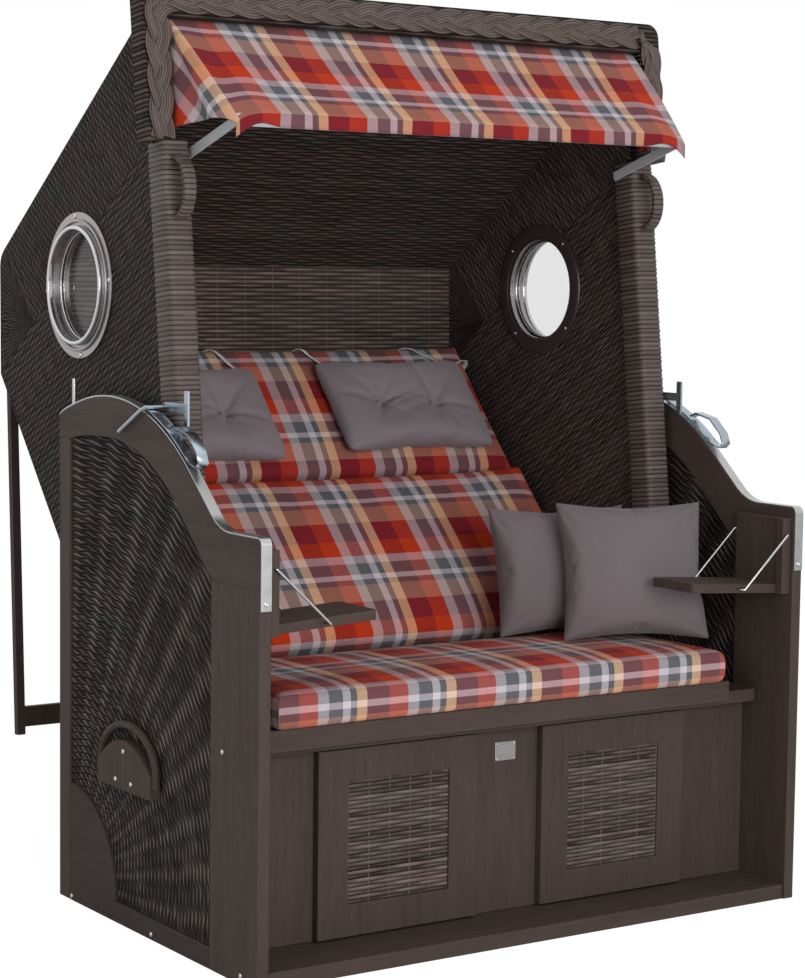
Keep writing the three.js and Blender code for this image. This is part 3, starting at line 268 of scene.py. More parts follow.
upright_wood = painted_wood("painted_wood_upright", (across_grain, across_grain, along_grain))
level_wood = painted_wood("painted_wood_level", (along_grain, across_grain, across_grain))
deep_grain = (across_grain, along_grain, across_grain)
deep_wood = painted_wood("painted_wood_deep", deep_grain)
shade_darkened_wood = painted_wood("painted_wood_shade_darkened", deep_grain, shaded_paint, shaded_in_grain)


def finish_node(name, look, ease=0.0015):
    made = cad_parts[name]
    made.data.materials.clear()
    made.data.materials.append(look)
    made.data.polygons.foreach_set("material_index", [0] * len(made.data.polygons))
    made.data.polygons.foreach_set("use_smooth", [True] * len(made.data.polygons))
    weld = made.modifiers.new("closed", "WELD")
    weld.merge_threshold = 0.00001
    if ease:
        edge = made.modifiers.new("eased_edges", "BEVEL")
        edge.width = ease
        edge.segments = 2
        edge.limit_method = "ANGLE"
        edge.angle_limit = math.radians(34)
    faces = made.modifiers.new("flat_faces", "WEIGHTED_NORMAL")
    faces.keep_sharp = False
    faces.weight = 100


for side in ("left", "right"):
    finish_node(f"front_stile_{side}", upright_wood)
    finish_node(f"rear_stile_{side}", upright_wood)
    finish_node(f"arch_rail_{side}", deep_wood)
    finish_node(f"bottom_rail_{side}", shade_darkened_wood)
    finish_node(f"pivot_upright_{side}", upright_wood, 0.001)

# Infills of the side panels: flat plastic cane woven in arcs over rods that fan out from the corner
# block. Each cane passes in front of one rod and behind the next; the colour paints the light and
# shade of that: a thin painted highlight along each cane, and painted shade on the canes behind a
# rod and in the gaps between canes.

woven, taken, given = group(
    "woven_cane",
    {
        "Across": ("Float", 0.0),
        "Along": ("Float", 0.0),
        "Cane": ("Float", 0.006),
        "Rods": ("Float", 0.06),
        "Sway": ("Float", 0.0),
        "Wide": ("Float", 0.76),
        "Split": ("Float", 0.2),
        "Bunch": ("Float", 0.0),
        "Rod": ("Float", 0.0),
        # strength of the painted highlight along each cane
        "Line": ("Float", 0.5),
        "Vary": ("Float", 0.3),
        # how far the canes behind a rod are darkened: painted shade
        "Under": ("Float", 0.38),
        "Peak": ("Float", 1.0),
        # near-black painted shade between the canes and behind the rods
        "Gap_Shade": ("Color", linear("0a0707")),
        "Dark": ("Color", linear("2b2422")),
        "Grey": ("Color", linear("5d5b55")),
        "Mauve": ("Color", linear("64524f")),
    },
    {"Colour": "Color", "Height": "Float"},
)


def chance_of(tree, number):
    inputs = {"W": number}
    return place(tree, "ShaderNodeTexWhiteNoise", inputs, noise_dimensions="1D").outputs["Value"]


def from_middle(tree, within):
    return reckon(tree, "ABSOLUTE", minus(tree, times(tree, within, 2.0), 1.0))


bay = reckon(woven, "DIVIDE", taken["Along"], taken["Rods"])
turns = times(woven, bay, 2 * math.pi)
row = reckon(woven, "DIVIDE", taken["Across"], taken["Cane"])
row = plus(woven, row, times(woven, taken["Sway"], reckon(woven, "SINE", turns)))
number = reckon(woven, "FLOOR", row)
within = minus(woven, row, number)
middle = from_middle(woven, within)
row_chance = chance_of(woven, number)
uneven = times(woven, minus(woven, row_chance, 0.5), times(woven, taken["Vary"], 0.5))
shifted = plus(woven, plus(woven, bay, number), uneven)
over = reckon(woven, "COSINE", times(woven, shifted, math.pi))
proud = reckon(woven, "POWER", plus(woven, times(woven, over, 0.5), 0.5), taken["Peak"])
bunched = reckon(woven, "COSINE", plus(woven, turns, 1.1))
width = plus(woven, taken["Wide"], times(woven, taken["Split"], over))
width = plus(woven, width, times(woven, taken["Bunch"], bunched))
inside = minus(woven, width, middle)
body = ranged(woven, inside, -0.05, 0.28)
crown = ranged(woven, inside, 0.0, 0.8)
piece_number = reckon(woven, "FLOOR", times(woven, plus(woven, shifted, 0.5), 0.5))
seed = place(woven, "ShaderNodeCombineXYZ", {0: number, 1: piece_number}).outputs[0]
scatter = place(woven, "ShaderNodeTexWhiteNoise", {"Vector": seed}, noise_dimensions="2D")
drift_spot = {0: times(woven, number, 0.17), 1: times(woven, bay, 0.4)}
drift_at = place(woven, "ShaderNodeCombineXYZ", drift_spot).outputs[0]
hue = ranged(woven, noise(woven, drift_at, 1.0, 1.0), 0.4, 0.6)
# A thin painted highlight along each cane, strongest where the cane lies over a rod.
line = ranged(woven, reckon(woven, "ABSOLUTE", minus(woven, within, 0.58)), 0.2, 0.06)
line = times(woven, line, plus(woven, 0.35, times(woven, proud, 0.65)))
tone = plus(woven, times(woven, scatter.outputs["Value"], 0.3), times(woven, row_chance, taken["Vary"]))
tone = plus(woven, tone, times(woven, line, taken["Line"]))
from_rod = reckon(woven, "ABSOLUTE", minus(woven, bay, reckon(woven, "ROUND", bay)))
near_rod = reckon(woven, "LESS_THAN", from_rod, taken["Rod"])
on_rod = times(woven, near_rod, reckon(woven, "LESS_THAN", over, 0.0))
tone = reckon(woven, "MAXIMUM", tone, on_rod)
body = reckon(woven, "MAXIMUM", body, times(woven, on_rod, 0.85))
light = blended(woven, hue, taken["Grey"], taken["Mauve"])
cane = blended(woven, tone, taken["Dark"], light)
# The canes behind the rods and the gaps between canes go towards the near-black gap colour: painted shade.
painted_under_shade = times(woven, minus(woven, 1.0, proud), taken["Under"])
unshaded_share = times(woven, body, minus(woven, 1.0, painted_under_shade))
give(
    woven,
    given,
    Colour=blended(woven, unshaded_share, taken["Gap_Shade"], cane),
    Height=times(woven, crown, plus(woven, 0.4, times(woven, proud, 0.6))),
)


def parted(tree, vector):
    return place(tree, "ShaderNodeSeparateXYZ", {0: vector}).outputs


def polar(tree, vector, centre):
    from_centre = place(tree, "ShaderNodeVectorMath", {0: vector, 1: centre}, operation="SUBTRACT")
    _, back, height = parted(tree, from_centre.outputs[0])
    square = plus(tree, times(tree, back, back), times(tree, height, height))
    return reckon(tree, "SQRT", square), reckon(tree, "ARCTAN2", height, back)


def cane_look(tree, shader, weave, depth=0.002):
    tree.links.new(weave["Colour"], shader.inputs["Base Color"])
    shader.inputs["Specular IOR Level"].default_value = 0.13
    tree.links.new(ranged(tree, weave["Height"], to_low=0.95, to_high=0.42), shader.inputs["Roughness"])
    relief(tree, shader, weave["Height"], depth)


fan_middle = (0.0, 0.331, 0.038)
rod_turn = math.radians(4.7)
infill_look, tree, shader = material("cane_fan")
here = on_object(tree)
radius, angle = polar(tree, here, fan_middle)
radius = plus(tree, radius, times(tree, noise(tree, here, 7.0, 2.0), 0.016))
angle = plus(tree, angle, times(tree, noise(tree, here, 3.0, 1.0), 0.08))
# Radial bands that lighten and darken in turn across the rods: painted light and shade; the noise adds
# random tone.
rod_shade_and_tone = times(tree, reckon(tree, "COSINE", times(tree, angle, math.pi / rod_turn)), 0.3)
rod_shade_and_tone = plus(tree, rod_shade_and_tone, times(tree, noise(tree, here, 16.0, 3.0), 2.4))
rod_shade_and_tone = ranged(tree, rod_shade_and_tone, 0.7, 1.7)
weave = use(
    tree,
    woven,
    Across=radius,
    Along=angle,
    Cane=0.0067,
    Rods=rod_turn,
    Sway=0.22,
    Wide=0.78,
    Split=0.26,
    Bunch=0.12,
    Line=1.0,
    Vary=0.6,
    Under=0.7,
    Peak=1.8,
    Dark=blended(tree, rod_shade_and_tone, linear("1f1a18"), linear("3a3230")),
    Grey=blended(tree, rod_shade_and_tone, linear("484642"), linear("7a766f")),
    Mauve=blended(tree, rod_shade_and_tone, linear("4e403b"), linear("806d68")),
)
cane_look(tree, shader, weave)
for side in ("left", "right"):
    finish_node(f"side_wicker_{side}", infill_look, 0)

# Metal strips over the arms: satin aluminium bar, bent over the board's edge and screwed down,
# with a round stop pin near the rear end.

brushed, taken, given = group(
    "brushed_metal",
    {"Place": ("Vector", None), "Low": ("Float", 0.25), "High": ("Float", 0.45)},
    {"Roughness": "Float", "Height": "Float", "Tone": "Float"},
)
lines = noise(brushed, taken["Place"], 40.0, 4.0)
marks = noise(brushed, taken["Place"], 3.0, 3.0)
mixed = plus(brushed, times(brushed, lines, 0.6), times(brushed, marks, 0.4))
rough = ranged(brushed, mixed, 0.35, 0.65, taken["Low"], taken["High"])
give(brushed, given, Roughness=rough, Height=lines, Tone=mixed)


def worn_colour(tree, shader, light, dark, low, high, scale):
    wear = use(tree, brushed, Place=stretched(tree, scale), Low=low, High=high)
    colour = blended(tree, wear["Tone"], linear(dark), linear(light))
    tree.links.new(colour, shader.inputs["Base Color"])
    tree.links.new(wear["Roughness"], shader.inputs["Roughness"])
    return wear


def metal(name, light, dark, low, high, scale=(20, 20, 20)):
    made, tree, shader = material(name, metallic=1.0)
    wear = worn_colour(tree, shader, light, dark, low, high, scale)
    relief(tree, shader, wear["Height"], 0.0001, 0.3)
    return made


satin = metal("satin_aluminium", "c9cac8", "a2a4a4", 0.28, 0.42)
for side in ("left", "right"):
    finish_node(f"slide_rail_{side}", satin, 0.0006)

# Carry handles: a painted block screwed on each infill, with a painted tube bowed over it.
# The block and its tube are one painted piece.

for side in ("left", "right"):
    finish_node(f"carry_handle_{side}", upright_wood, 0.001)

# Folding trays: a painted board hinged to a plate inside each arm, held level by two bright wires.
# Board and plate are wood; the wires are steel, hooked into the plate above and the board below.

bright = metal("bright_steel", "dcdddd", "b4b6b8", 0.12, 0.25)
for side in ("left", "right"):
    finish_node(f"tray_plate_{side}", upright_wood)
    finish_node(f"tray_board_{side}", level_wood)
    for end in ("front", "rear"):
        finish_node(f"tray_stay_{end}_{side}", bright, 0)

# Bench: floor board, front panel, back board, seat frame and deck, all painted boards screwed
# together, with the rail along the front of the deck.

for name in ("floor_board", "seat_frame", "seat_deck", "seat_rail", "back_board"):
    finish_node(name, level_wood)
finish_node("front_panel", upright_wood)

# Footrests: a framed door on a pull-out bench, with a woven panel let into the frame.
# The door's cane is a little lighter, laid level over upright rods.


def level_cane(name, **sizes):
    made, tree, shader = material(name)
    across, _, up = parted(tree, on_object(tree))
    cane_look(tree, shader, use(tree, woven, Across=up, Along=across, **sizes))
    return made


door_cane = level_cane(
    "cane_level",
    Cane=0.0074,
    Rods=0.0435,
    Split=0.06,
    Wide=0.94,
    Rod=0.03,
    Line=0.3,
    Vary=0.75,
    Dark=linear("342a28"),
    Grey=linear("7f746e"),
    Mauve=linear("86736e"),
)
for side in ("left", "right"):
    finish_node(f"footrest_{side}", upright_wood)
    finish_node(f"footrest_insert_{side}", door_cane, 0)

# Hood: two woven side walls on posts wound with cane, a woven roof, rear wall and sloping back.
# The cane of a side wall runs two ways, which meet on a slanting line through the porthole.

lean_back = math.radians(6.7)
hood_pivot = Vector((0, 0.175, 0.501))


def upright_place(tree):
    shift = -(Matrix.Rotation(lean_back, 3, "X") @ hood_pivot)
    return stretched(tree, (1, 1, 1), (lean_back, 0, 0), tuple(shift))


def hood_point(x, back, height):
    return hood_pivot + Matrix.Rotation(-lean_back, 3, "X") @ Vector((x, back, height))


def slanted(tree, parts, centre, degrees):
    angle = math.radians(degrees)
    back = minus(tree, parts[1], centre[0])
    height = minus(tree, parts[2], centre[1])
    along = plus(tree, times(tree, back, math.cos(angle)), times(tree, height, math.sin(angle)))
    across = minus(tree, times(tree, height, math.cos(angle)), times(tree, back, math.sin(angle)))
    return along, across


def picked(tree, mask, first, second):
    return plus(tree, times(tree, first, minus(tree, 1.0, mask)), times(tree, second, mask))


fan = (0.336, 0.633)
low_run, high_run = 152, 52
fan_foot, fan_head = math.radians(-28), math.radians(high_run)
inner_face = 0.5352
side_cane, tree, shader = material("cane_side_wall")
place_up = upright_place(tree)
parts = parted(tree, place_up)
low_along, low_across = slanted(tree, parts, fan, low_run)
high_along, high_across = slanted(tree, parts, fan, high_run)
radius, angle = polar(tree, place_up, (0.0, *fan))
above = reckon(tree, "GREATER_THAN", high_across, 0.0)
in_high = times(tree, above, reckon(tree, "LESS_THAN", low_across, 0.0))
past_foot = reckon(tree, "GREATER_THAN", angle, fan_foot)
in_fan = times(tree, past_foot, reckon(tree, "LESS_THAN", angle, fan_head))
across = picked(tree, in_fan, picked(tree, in_high, low_across, high_across), times(tree, angle, 0.2))
along = picked(tree, in_fan, picked(tree, in_high, low_along, high_along), radius)
across = plus(tree, across, times(tree, noise(tree, place_up, 9.0, 2.0), 0.008))
# The inner and outer faces get two copies of the same cane colours, lighter inside the hood and darker
# outside: painted light and shade.
inner = reckon(tree, "LESS_THAN", reckon(tree, "ABSOLUTE", parts[0]), inner_face)
weave = use(
    tree,
    woven,
    Across=across,
    Along=along,
    Cane=0.0062,
    Rods=0.026,
    Split=0.26,
    Wide=0.8,
    Line=0.75,
    Vary=0.5,
    Dark=blended(tree, inner, linear("272120"), linear("382e2b")),
    Grey=blended(tree, inner, linear("565450"), linear("7a726d")),
    Mauve=blended(tree, inner, linear("5f4e4b"), linear("806d68")),
)
cane_look(tree, shader, weave)

wall_cane = level_cane(
    "cane_wall",
    Cane=0.0088,
    Rods=0.068,
    Split=0.03,
    Wide=0.96,
    Rod=0.018,
    Line=0.9,
    Dark=linear("3f3431"),
    Grey=linear("716b65"),
    Mauve=linear("8c7974"),
)

roof_cane, tree, shader = material("cane_roof")
here = on_object(tree)
across, back, _ = parted(tree, here)
weave = use(
    tree,
    woven,
    Across=plus(tree, back, times(tree, noise(tree, here, 11.0, 1.0), 0.008)),
    Along=across,
    Cane=0.0082,
    Rods=0.034,
    Split=0.2,
    Wide=0.84,
    Line=0.7,
    Dark=linear("312826"),
    Grey=linear("69645e"),
    Mauve=linear("735f5b"),
)
cane_look(tree, shader, weave)

for side in ("left", "right"):
    finish_node(f"hood_side_{side}", side_cane, 0)
finish_node("hood_rear_wall", wall_cane, 0)
finish_node("hood_sloping_back", wall_cane, 0)
finish_node("hood_roof", roof_cane, 0)

# Windings of the posts and of the pull loops: one flat cane laid round and round, each turn a little
# proud of the next. Across them the map counts the turns; along them it runs in metres.


def cloth_place(tree):
    return place(tree, "ShaderNodeUVMap", uv_map="cloth").outputs[0]


wound_cane, tree, shader = material("wound_cane", Specular_IOR_Level=0.22)
run, turn, _ = parted(tree, cloth_place(tree))
number = reckon(tree, "FLOOR", turn)
middle = from_middle(tree, minus(tree, turn, number))
strand = place(tree, "ShaderNodeCombineXYZ", {0: times(tree, run, 22.0), 1: times(tree, turn, 9.0)})
ribbed = noise(tree, strand.outputs[0], 1.0, 3.0)
tone = plus(tree, times(tree, chance_of(tree, number), 0.35), times(tree, ribbed, 0.75))
cane = blended(tree, minus(tree, tone, 0.1), linear("3a302e"), linear("83756f"))
# Near-black where one turn meets the next: painted shade in the seams between turns.
outside_turn_seam = ranged(tree, middle, 0.98, 0.55)
tree.links.new(blended(tree, outside_turn_seam, linear("120c0b"), cane), shader.inputs["Base Color"])
tree.links.new(ranged(tree, ribbed, to_low=0.3, to_high=0.6), shader.inputs["Roughness"])
relief(tree, shader, ribbed, 0.0006, 0.6)


def sewn_mesh(name, points, faces, places, look):
    made = plain_mesh(name, points, faces, look)
    layer = made.data.uv_layers.new(name="cloth")
    for loop in made.data.loops:
        layer.data[loop.index].uv = places[loop.vertex_index]
    return made


def add_tube(points, places, faces, rings, ring_places):
    start, count = len(points), len(rings[0])
    for ring, marks in zip(rings, ring_places):
        points.extend(ring)
        places.extend(marks)
    for i in range(len(rings) - 1):
        for k in range(count):
            a, b = start + i * count + k, start + i * count + (k + 1) % count
            faces.append((a, b, b + count, a + count))
    last = start + (len(rings) - 1) * count
    faces.append(tuple(range(start + count - 1, start - 1, -1)))
    faces.append(tuple(range(last, last + count)))


def tube_mesh(name, rings, ring_places, look):
    points, places, faces = [], [], []
    add_tube(points, places, faces, rings, ring_places)
    return sewn_mesh(name, points, faces, places, look)


def rounded_section(half_a, half_b, corner, steps=4):
    section = []
    for quarter, (sa, sb) in enumerate(((1, 1), (-1, 1), (-1, -1), (1, -1))):
        for i in range(steps + 1):
            angle = math.pi / 2 * (quarter + i / steps)
            a = sa * (half_a - corner) + corner * math.cos(angle)
            b = sb * (half_b - corner) + corner * math.sin(angle)
            section.append((a, b))
    return section


rings_per_turn = 4
section_step = 0.008


def wound_bar(name, spots, section, proud):
    rings, marks = [], []
    for index, (centre, side, out) in enumerate(spots):
        swell = proud * abs(math.sin(math.pi * index / rings_per_turn)) ** 0.6
        ring = []
        for a, b in section:
            wider = 1 + swell / math.hypot(a, b)
            ring.append(centre + side * (a * wider) + out * (b * wider))
        rings.append(ring)
        marks.append([(k * section_step, index / rings_per_turn) for k in range(len(section))])
    made = tube_mesh(name, rings, marks, wound_cane)
    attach(made, "hood")


across_axis = Vector((1, 0, 0))
forward_axis = hood_point(0, -1, 0) - hood_point(0, 0, 0)
post_middle, post_back = 0.5315, -0.206
winding_foot, winding_rise = 0.1495, 0.7555
post_rings = 85 * rings_per_turn
post_section = rounded_section(0.0267, 0.0302, 0.010)
hand_wobble = 0.0006
loop_back, loop_height = -0.2365, 0.821
loop_reach, loop_rise = 0.0425, 0.0535
loop_rings = 18 * rings_per_turn
loop_section = rounded_section(0.0112, 0.0047, 0.0035)
for side, sign in (("left", -1), ("right", 1)):
    spots = []
    for index in range(post_rings + 1):
        height = winding_foot + winding_rise * index / post_rings
        back = post_back + hand_wobble * math.sin(index * 0.7)
        spots.append((hood_point(sign * post_middle, back, height), across_axis, forward_axis))
    wound_bar(f"post_winding_{side}", spots, post_section, proud=0.0018)
    spots = []
    for index in range(loop_rings + 1):
        angle = math.pi * (0.5 + index / loop_rings)
        back = loop_back + loop_reach * math.cos(angle)
        height = loop_height + loop_rise * math.sin(angle)
        out_back, out_height = loop_rise * math.cos(angle), loop_reach * math.sin(angle)
        out = (hood_point(0, out_back, out_height) - hood_point(0, 0, 0)).normalized()
        spots.append((hood_point(sign * post_middle, back, height), across_axis, out))
    finish_node(f"grip_loop_{side}", side_cane, 0)
    wound_bar(f"loop_winding_{side}", spots, loop_section, proud=0.0011)

# Collar: a woven box frame round the hood's front, with a flat braid of three bundles on its face.
# Each bundle is five canes side by side; it passes over and under the other two.

collar_cane, tree, shader = material("cane_collar")
across, _, up = parted(tree, upright_place(tree))
weave = use(
    tree, woven, Across=up, Along=across, Cane=0.0085, Rods=0.05, Split=0.06, Wide=0.9, Line=0.8
)
cane_look(tree, shader, weave)
finish_node("hood_collar", collar_cane, 0)

braid_foot = 0.907
braid_leg = 0.217
braid_bend = 0.030
braid_bar = 1.064
braid_corner = braid_bend * math.pi / 2
braid_length = 2 * (braid_leg + braid_corner) + braid_bar


def braid_spot(run):
    from_end = min(run, braid_length - run)
    half_bar, shoulder = braid_bar / 2, braid_foot + braid_leg
    if from_end < braid_leg:
        x, z, tx, tz = half_bar + braid_bend, braid_foot + from_end, 0.0, 1.0
    elif from_end < braid_leg + braid_corner:
        angle = (from_end - braid_leg) / braid_bend
        x, z = half_bar + braid_bend * math.cos(angle), shoulder + braid_bend * math.sin(angle)
        tx, tz = -math.sin(angle), math.cos(angle)
    else:
        x, z = half_bar - (from_end - braid_leg - braid_corner), shoulder + braid_bend
        tx, tz = -1.0, 0.0
    if run < braid_length / 2:
        return (-x, z), (-tx, tz)
    return (x, z), (tx, -tz) if from_end < braid_leg + braid_corner else (-tx, tz)


bundles, canes = 3, 5
braid_period = braid_length / 9
braid_sway = 0.0125
braid_steps = 250
braid_front, braid_weave = 0.2458, 0.0030
strand_space, strand_half, strand_lift, strand_sides = 0.0049, 0.0027, 0.0018, 6
points, places, faces = [], [], []
for strand_number in range(bundles * canes):
    bundle, cane_number = divmod(strand_number, canes)
    rings, marks = [], []
    for index in range(braid_steps + 1):
        run = braid_length * index / braid_steps
        phase = 2 * math.pi * (run / braid_period + bundle / bundles)
        (x, z), (tx, tz) = braid_spot(run)
        normal = (-tz, tx)
        slope = braid_sway * math.cos(phase) * 2 * math.pi / braid_period
        share = math.hypot(1, slope)
        out = ((normal[0] - slope * tx) / share, (normal[1] - slope * tz) / share)
        offset = (cane_number - (canes - 1) / 2) * strand_space
        x += normal[0] * braid_sway * math.sin(phase) + out[0] * offset
        z += normal[1] * braid_sway * math.sin(phase) + out[1] * offset
        front = braid_front + braid_weave * math.sin(2 * phase)
        ring, mark = [], []
        for k in range(strand_sides):
            around = 2 * math.pi / strand_sides * k
            aside, lift = strand_half * math.cos(around), strand_lift * math.sin(around)
            ring.append(hood_point(x + out[0] * aside, -front - lift, z + out[1] * aside))
            mark.append((run, strand_number + 0.5 + 0.4 * math.cos(around)))
        rings.append(ring)
        marks.append(mark)
    add_tube(points, places, faces, rings, marks)
braid = sewn_mesh("collar_braid", points, faces, places, wound_cane)
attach(braid, "hood")

# Portholes: a flanged aluminium tube through each side wall, with a turned lip outside and a clear
# pane held between two beads. Inside, a flat brown ring over the metal flange paints the flange's
# reflection of the dark woven hood and its shade. Small screws hold the flanges.

porthole_middle = hood_point(0, 0.121, 0.684)
ring_steps = 64


def eased_profile(inner, outer, base, face, inner_cut, outer_cut):
    out = math.copysign(1, face - base)
    return [
        (inner, base),
        (inner, face - out * inner_cut[1]),
        (inner + inner_cut[0], face),
        (outer - outer_cut[0], face),
        (outer, face - out * outer_cut[1]),
        (outer, base),
    ]


def bead_profile(start):
    thickness, inner, outer, swell = 0.0038, 0.1010, 0.1045, 0.0006
    end = start + thickness
    waist = (inner - swell, start + thickness / 2)
    return [(inner, start), waist, (inner, end), (outer, end), (outer, start)]


def turned_ring(name, side, profile, look):
    sign = 1 if side == "right" else -1
    count = len(profile)
    points, faces = [], []
    for index in range(ring_steps):
        angle = 2 * math.pi * index / ring_steps
        for radius, x in profile:
            back = porthole_middle.y + radius * math.cos(angle)
            points.append((sign * x, back, porthole_middle.z + radius * math.sin(angle)))
        for k in range(count):
            a, b = index * count + k, index * count + (k + 1) % count
            c, d = (b + count) % (ring_steps * count), (a + count) % (ring_steps * count)
            faces.append((a, b, c, d) if sign > 0 else (d, c, b, a))
    made = plain_mesh(name, points, faces, look)
    made.modifiers.new("flat_faces", "WEIGHTED_NORMAL").keep_sharp = False
    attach(made, "hood")


# The ring is flat brown, not metal: its colour paints the inner flange's reflection of the dark woven hood
# and the shade it lies in.
painted_reflection_look, tree, shader = material("brown_painted_reflection", Specular_IOR_Level=0.3)
worn_colour(tree, shader, "4c403c", "3a2f2c", 0.3, 0.45, (25, 25, 25))
turned_metal = metal("turned_aluminium", "b3acad", "8f8889", 0.22, 0.4)
wall_outside, wall_inside = 0.5622, 0.5255
lip = eased_profile(0.1049, 0.1130, wall_outside, 0.5740, (0.0013, 0.0014), (0.0015, 0.0014))
step = eased_profile(0.1190, 0.1245, wall_outside, 0.5666, (0.0010, 0.0010), (0.0010, 0.0010))
# the brown ring over the inner flange: painted reflection and shade
cover = eased_profile(0.1120, 0.1375, wall_inside, 0.5224, (0.0020, 0.0012), (0.0045, 0.0020))
for side in ("left", "right"):
    finish_node(f"porthole_ring_{side}", turned_metal, 0.0006)
    turned_ring(f"porthole_lip_{side}", side, lip, bright)
    turned_ring(f"porthole_step_{side}", side, step, turned_metal)
    turned_ring(f"porthole_dark_ring_{side}", side, cover, painted_reflection_look)
    turned_ring(f"pane_bead_outer_{side}", side, bead_profile(0.5463), bright)
    turned_ring(f"pane_bead_inner_{side}", side, bead_profile(0.5379), bright)

pane_look, tree, shader = material("clear_pane", Transmission_Weight=1.0, IOR=1.2)
haze = ranged(tree, noise(tree, on_object(tree), 30.0, 4.0), 0.4, 0.7, 0.0, 0.012)
tree.links.new(haze, shader.inputs["Roughness"])
for side in ("left", "right"):
    finish_node(f"porthole_pane_{side}", pane_look, 0)

# Latches on the arms: bent zinc-plated rod, plate and strip that hold the hood at its slant.
# Rod and plate sit on the hood's side; the strip with its finger loop lifts off the arm.

plated = metal("blue_zinc", "b7c2ca", "8e9ba6", 0.2, 0.36)
for side in ("left", "right"):
    finish_node(f"latch_bracket_{side}", plated, 0.0004)
    finish_node(f"latch_strip_{side}", plated, 0)

# Folding frame behind the hood: two painted legs and a cross bar that prop the tipped hood.
# It hinges at the hood's rear edge and follows the hood down.

finish_node("support_frame", upright_wood)

# Awning: a grey metal frame that folds down from the posts, under one sheet of checked cloth.
# The cloth hangs from the collar, falls over the front bar and has a gusset at each side.

grey_paint, tree, shader = material("grey_lacquer", Specular_IOR_Level=0.4)
worn_colour(tree, shader, "c4c5c8", "a9aaae", 0.35, 0.5, (30, 30, 30))
finish_node("awning_frame", grey_paint, 0.0006)


def in_order(tree, along, repeat, yarns):
    share = reckon(tree, "FRACT", reckon(tree, "DIVIDE", along, repeat))
    ramp = place(tree, "ShaderNodeValToRGB", {"Fac": share})
    ramp.color_ramp.interpolation = "CONSTANT"
    stops = ramp.color_ramp.elements
    stops.remove(stops[1])
    whole = sum(width for width, colour in yarns)
    start = 0.0
    for index, (width, colour) in enumerate(yarns):
        stop = stops[0] if index == 0 else stops.new(start / whole)
        stop.color = linear(colour)
        start += width
    return ramp.outputs["Color"]


warp_yarns = (
    (47, "80161f"),
    (39, "c8380f"),
    (23, "c4b9be"),
    (29, "60636a"),
    (16, "d4ccd2"),
    (13, "5a5d64"),
    (22, "f2bf92"),
)
weft_yarns = (
    (43, "80242f"),
    (34, "c03a16"),
    (18, "c9aeb4"),
    (25, "5f6166"),
    (11, "d1c7cd"),
    (12, "5f6166"),
    (40, "b58672"),
)
warp_repeat, weft_repeat, thread = 0.189, 0.183, 0.0011
checked, taken, given = group(
    "checked_cloth",
    {"Across": ("Float", 0.0), "Along": ("Float", 0.0)},
    {"Colour": "Color", "Height": "Float"},
)
warp = in_order(checked, taken["Across"], warp_repeat, warp_yarns)
weft = in_order(checked, taken["Along"], weft_repeat, weft_yarns)
threads_across = reckon(checked, "DIVIDE", taken["Across"], thread)
slant = plus(checked, threads_across, reckon(checked, "DIVIDE", taken["Along"], thread))
wave = reckon(checked, "SINE", times(checked, slant, math.pi))
cloth = blended(checked, ranged(checked, wave, -1.0, 1.0, 0.38, 0.62), warp, weft)
fuzz_at = place(checked, "ShaderNodeCombineXYZ", {0: taken["Across"], 1: taken["Along"]})
fuzz = noise(checked, fuzz_at.outputs[0], 900.0, 2.0)
worn = times(checked, minus(checked, fuzz, 0.5), 0.25)
cloth = blended(checked, worn, cloth, linear("b9a9a4"))
give(checked, given, Colour=cloth, Height=plus(checked, wave, fuzz))

plaid, tree, shader = material(
    "checked_cloth", Roughness=0.85, Specular_IOR_Level=0.12, Sheen_Weight=0.05, Sheen_Roughness=0.4
)
across, along, _ = parted(tree, cloth_place(tree))
pattern = use(tree, checked, Across=across, Along=along)
tree.links.new(pattern["Colour"], shader.inputs["Base Color"])
relief(tree, shader, pattern["Height"], 0.0002, 0.5)

awning_top = Vector((0.530, 0.0864, 1.6436))
awning_front = Vector((0.503, -0.1186, 1.4724))
awning_leg = Vector((0.5335, 0.0633, 1.4470))
hem_drop = 0.026
gusset_hem = 0.012
edge_slack = 1.09
plaid_across, plaid_along = -0.044, 0.095
across_steps, gusset_steps, slope_steps, hem_steps = 96, 14, 26, 3
slope_length = (awning_top - awning_front).length
leg_length = (awning_top - awning_leg).length
free_edge = edge_slack * (awning_front - awning_leg).length
leg_down = (slope_length**2 + leg_length**2 - free_edge**2) / (2 * slope_length)
leg_out = math.sqrt(leg_length**2 - leg_down**2)
cloth_sag = 0.007
fold_height, fold_space, fold_reach = 0.0042, 0.016, 0.09
tip_drop, tip_reach = 0.020, 0.022


def slope_spot(s, v, hem):
    end = awning_top.lerp(awning_front, v)
    from_corner = (0.5 - abs(s - 0.5)) * 2 * end.x
    sag = cloth_sag * math.sin(math.pi * v) * (4 * s * (1 - s)) ** 0.5
    near = fold_height * math.exp(-from_corner / fold_reach) * min(1, from_corner / 0.02)
    fold = near * math.sin(from_corner / fold_space + 5 * v) * math.sin(math.pi * v)
    tip = tip_drop * math.exp(-from_corner / tip_reach) * v**3
    hang = hem_drop * hem * (1 - 0.35 * math.exp(-((from_corner - 0.05) ** 2) / 0.0009))
    ripple = 0.0022 * math.sin(from_corner / 0.021) * hem
    spot = Vector(((2 * s - 1) * end.x, end.y + 0.5 * sag - ripple, end.z - sag + fold - tip - hang))
    return spot, ((s - 0.5) * 2 * awning_top.x, v * slope_length + hem * (hem_drop + 0.02))


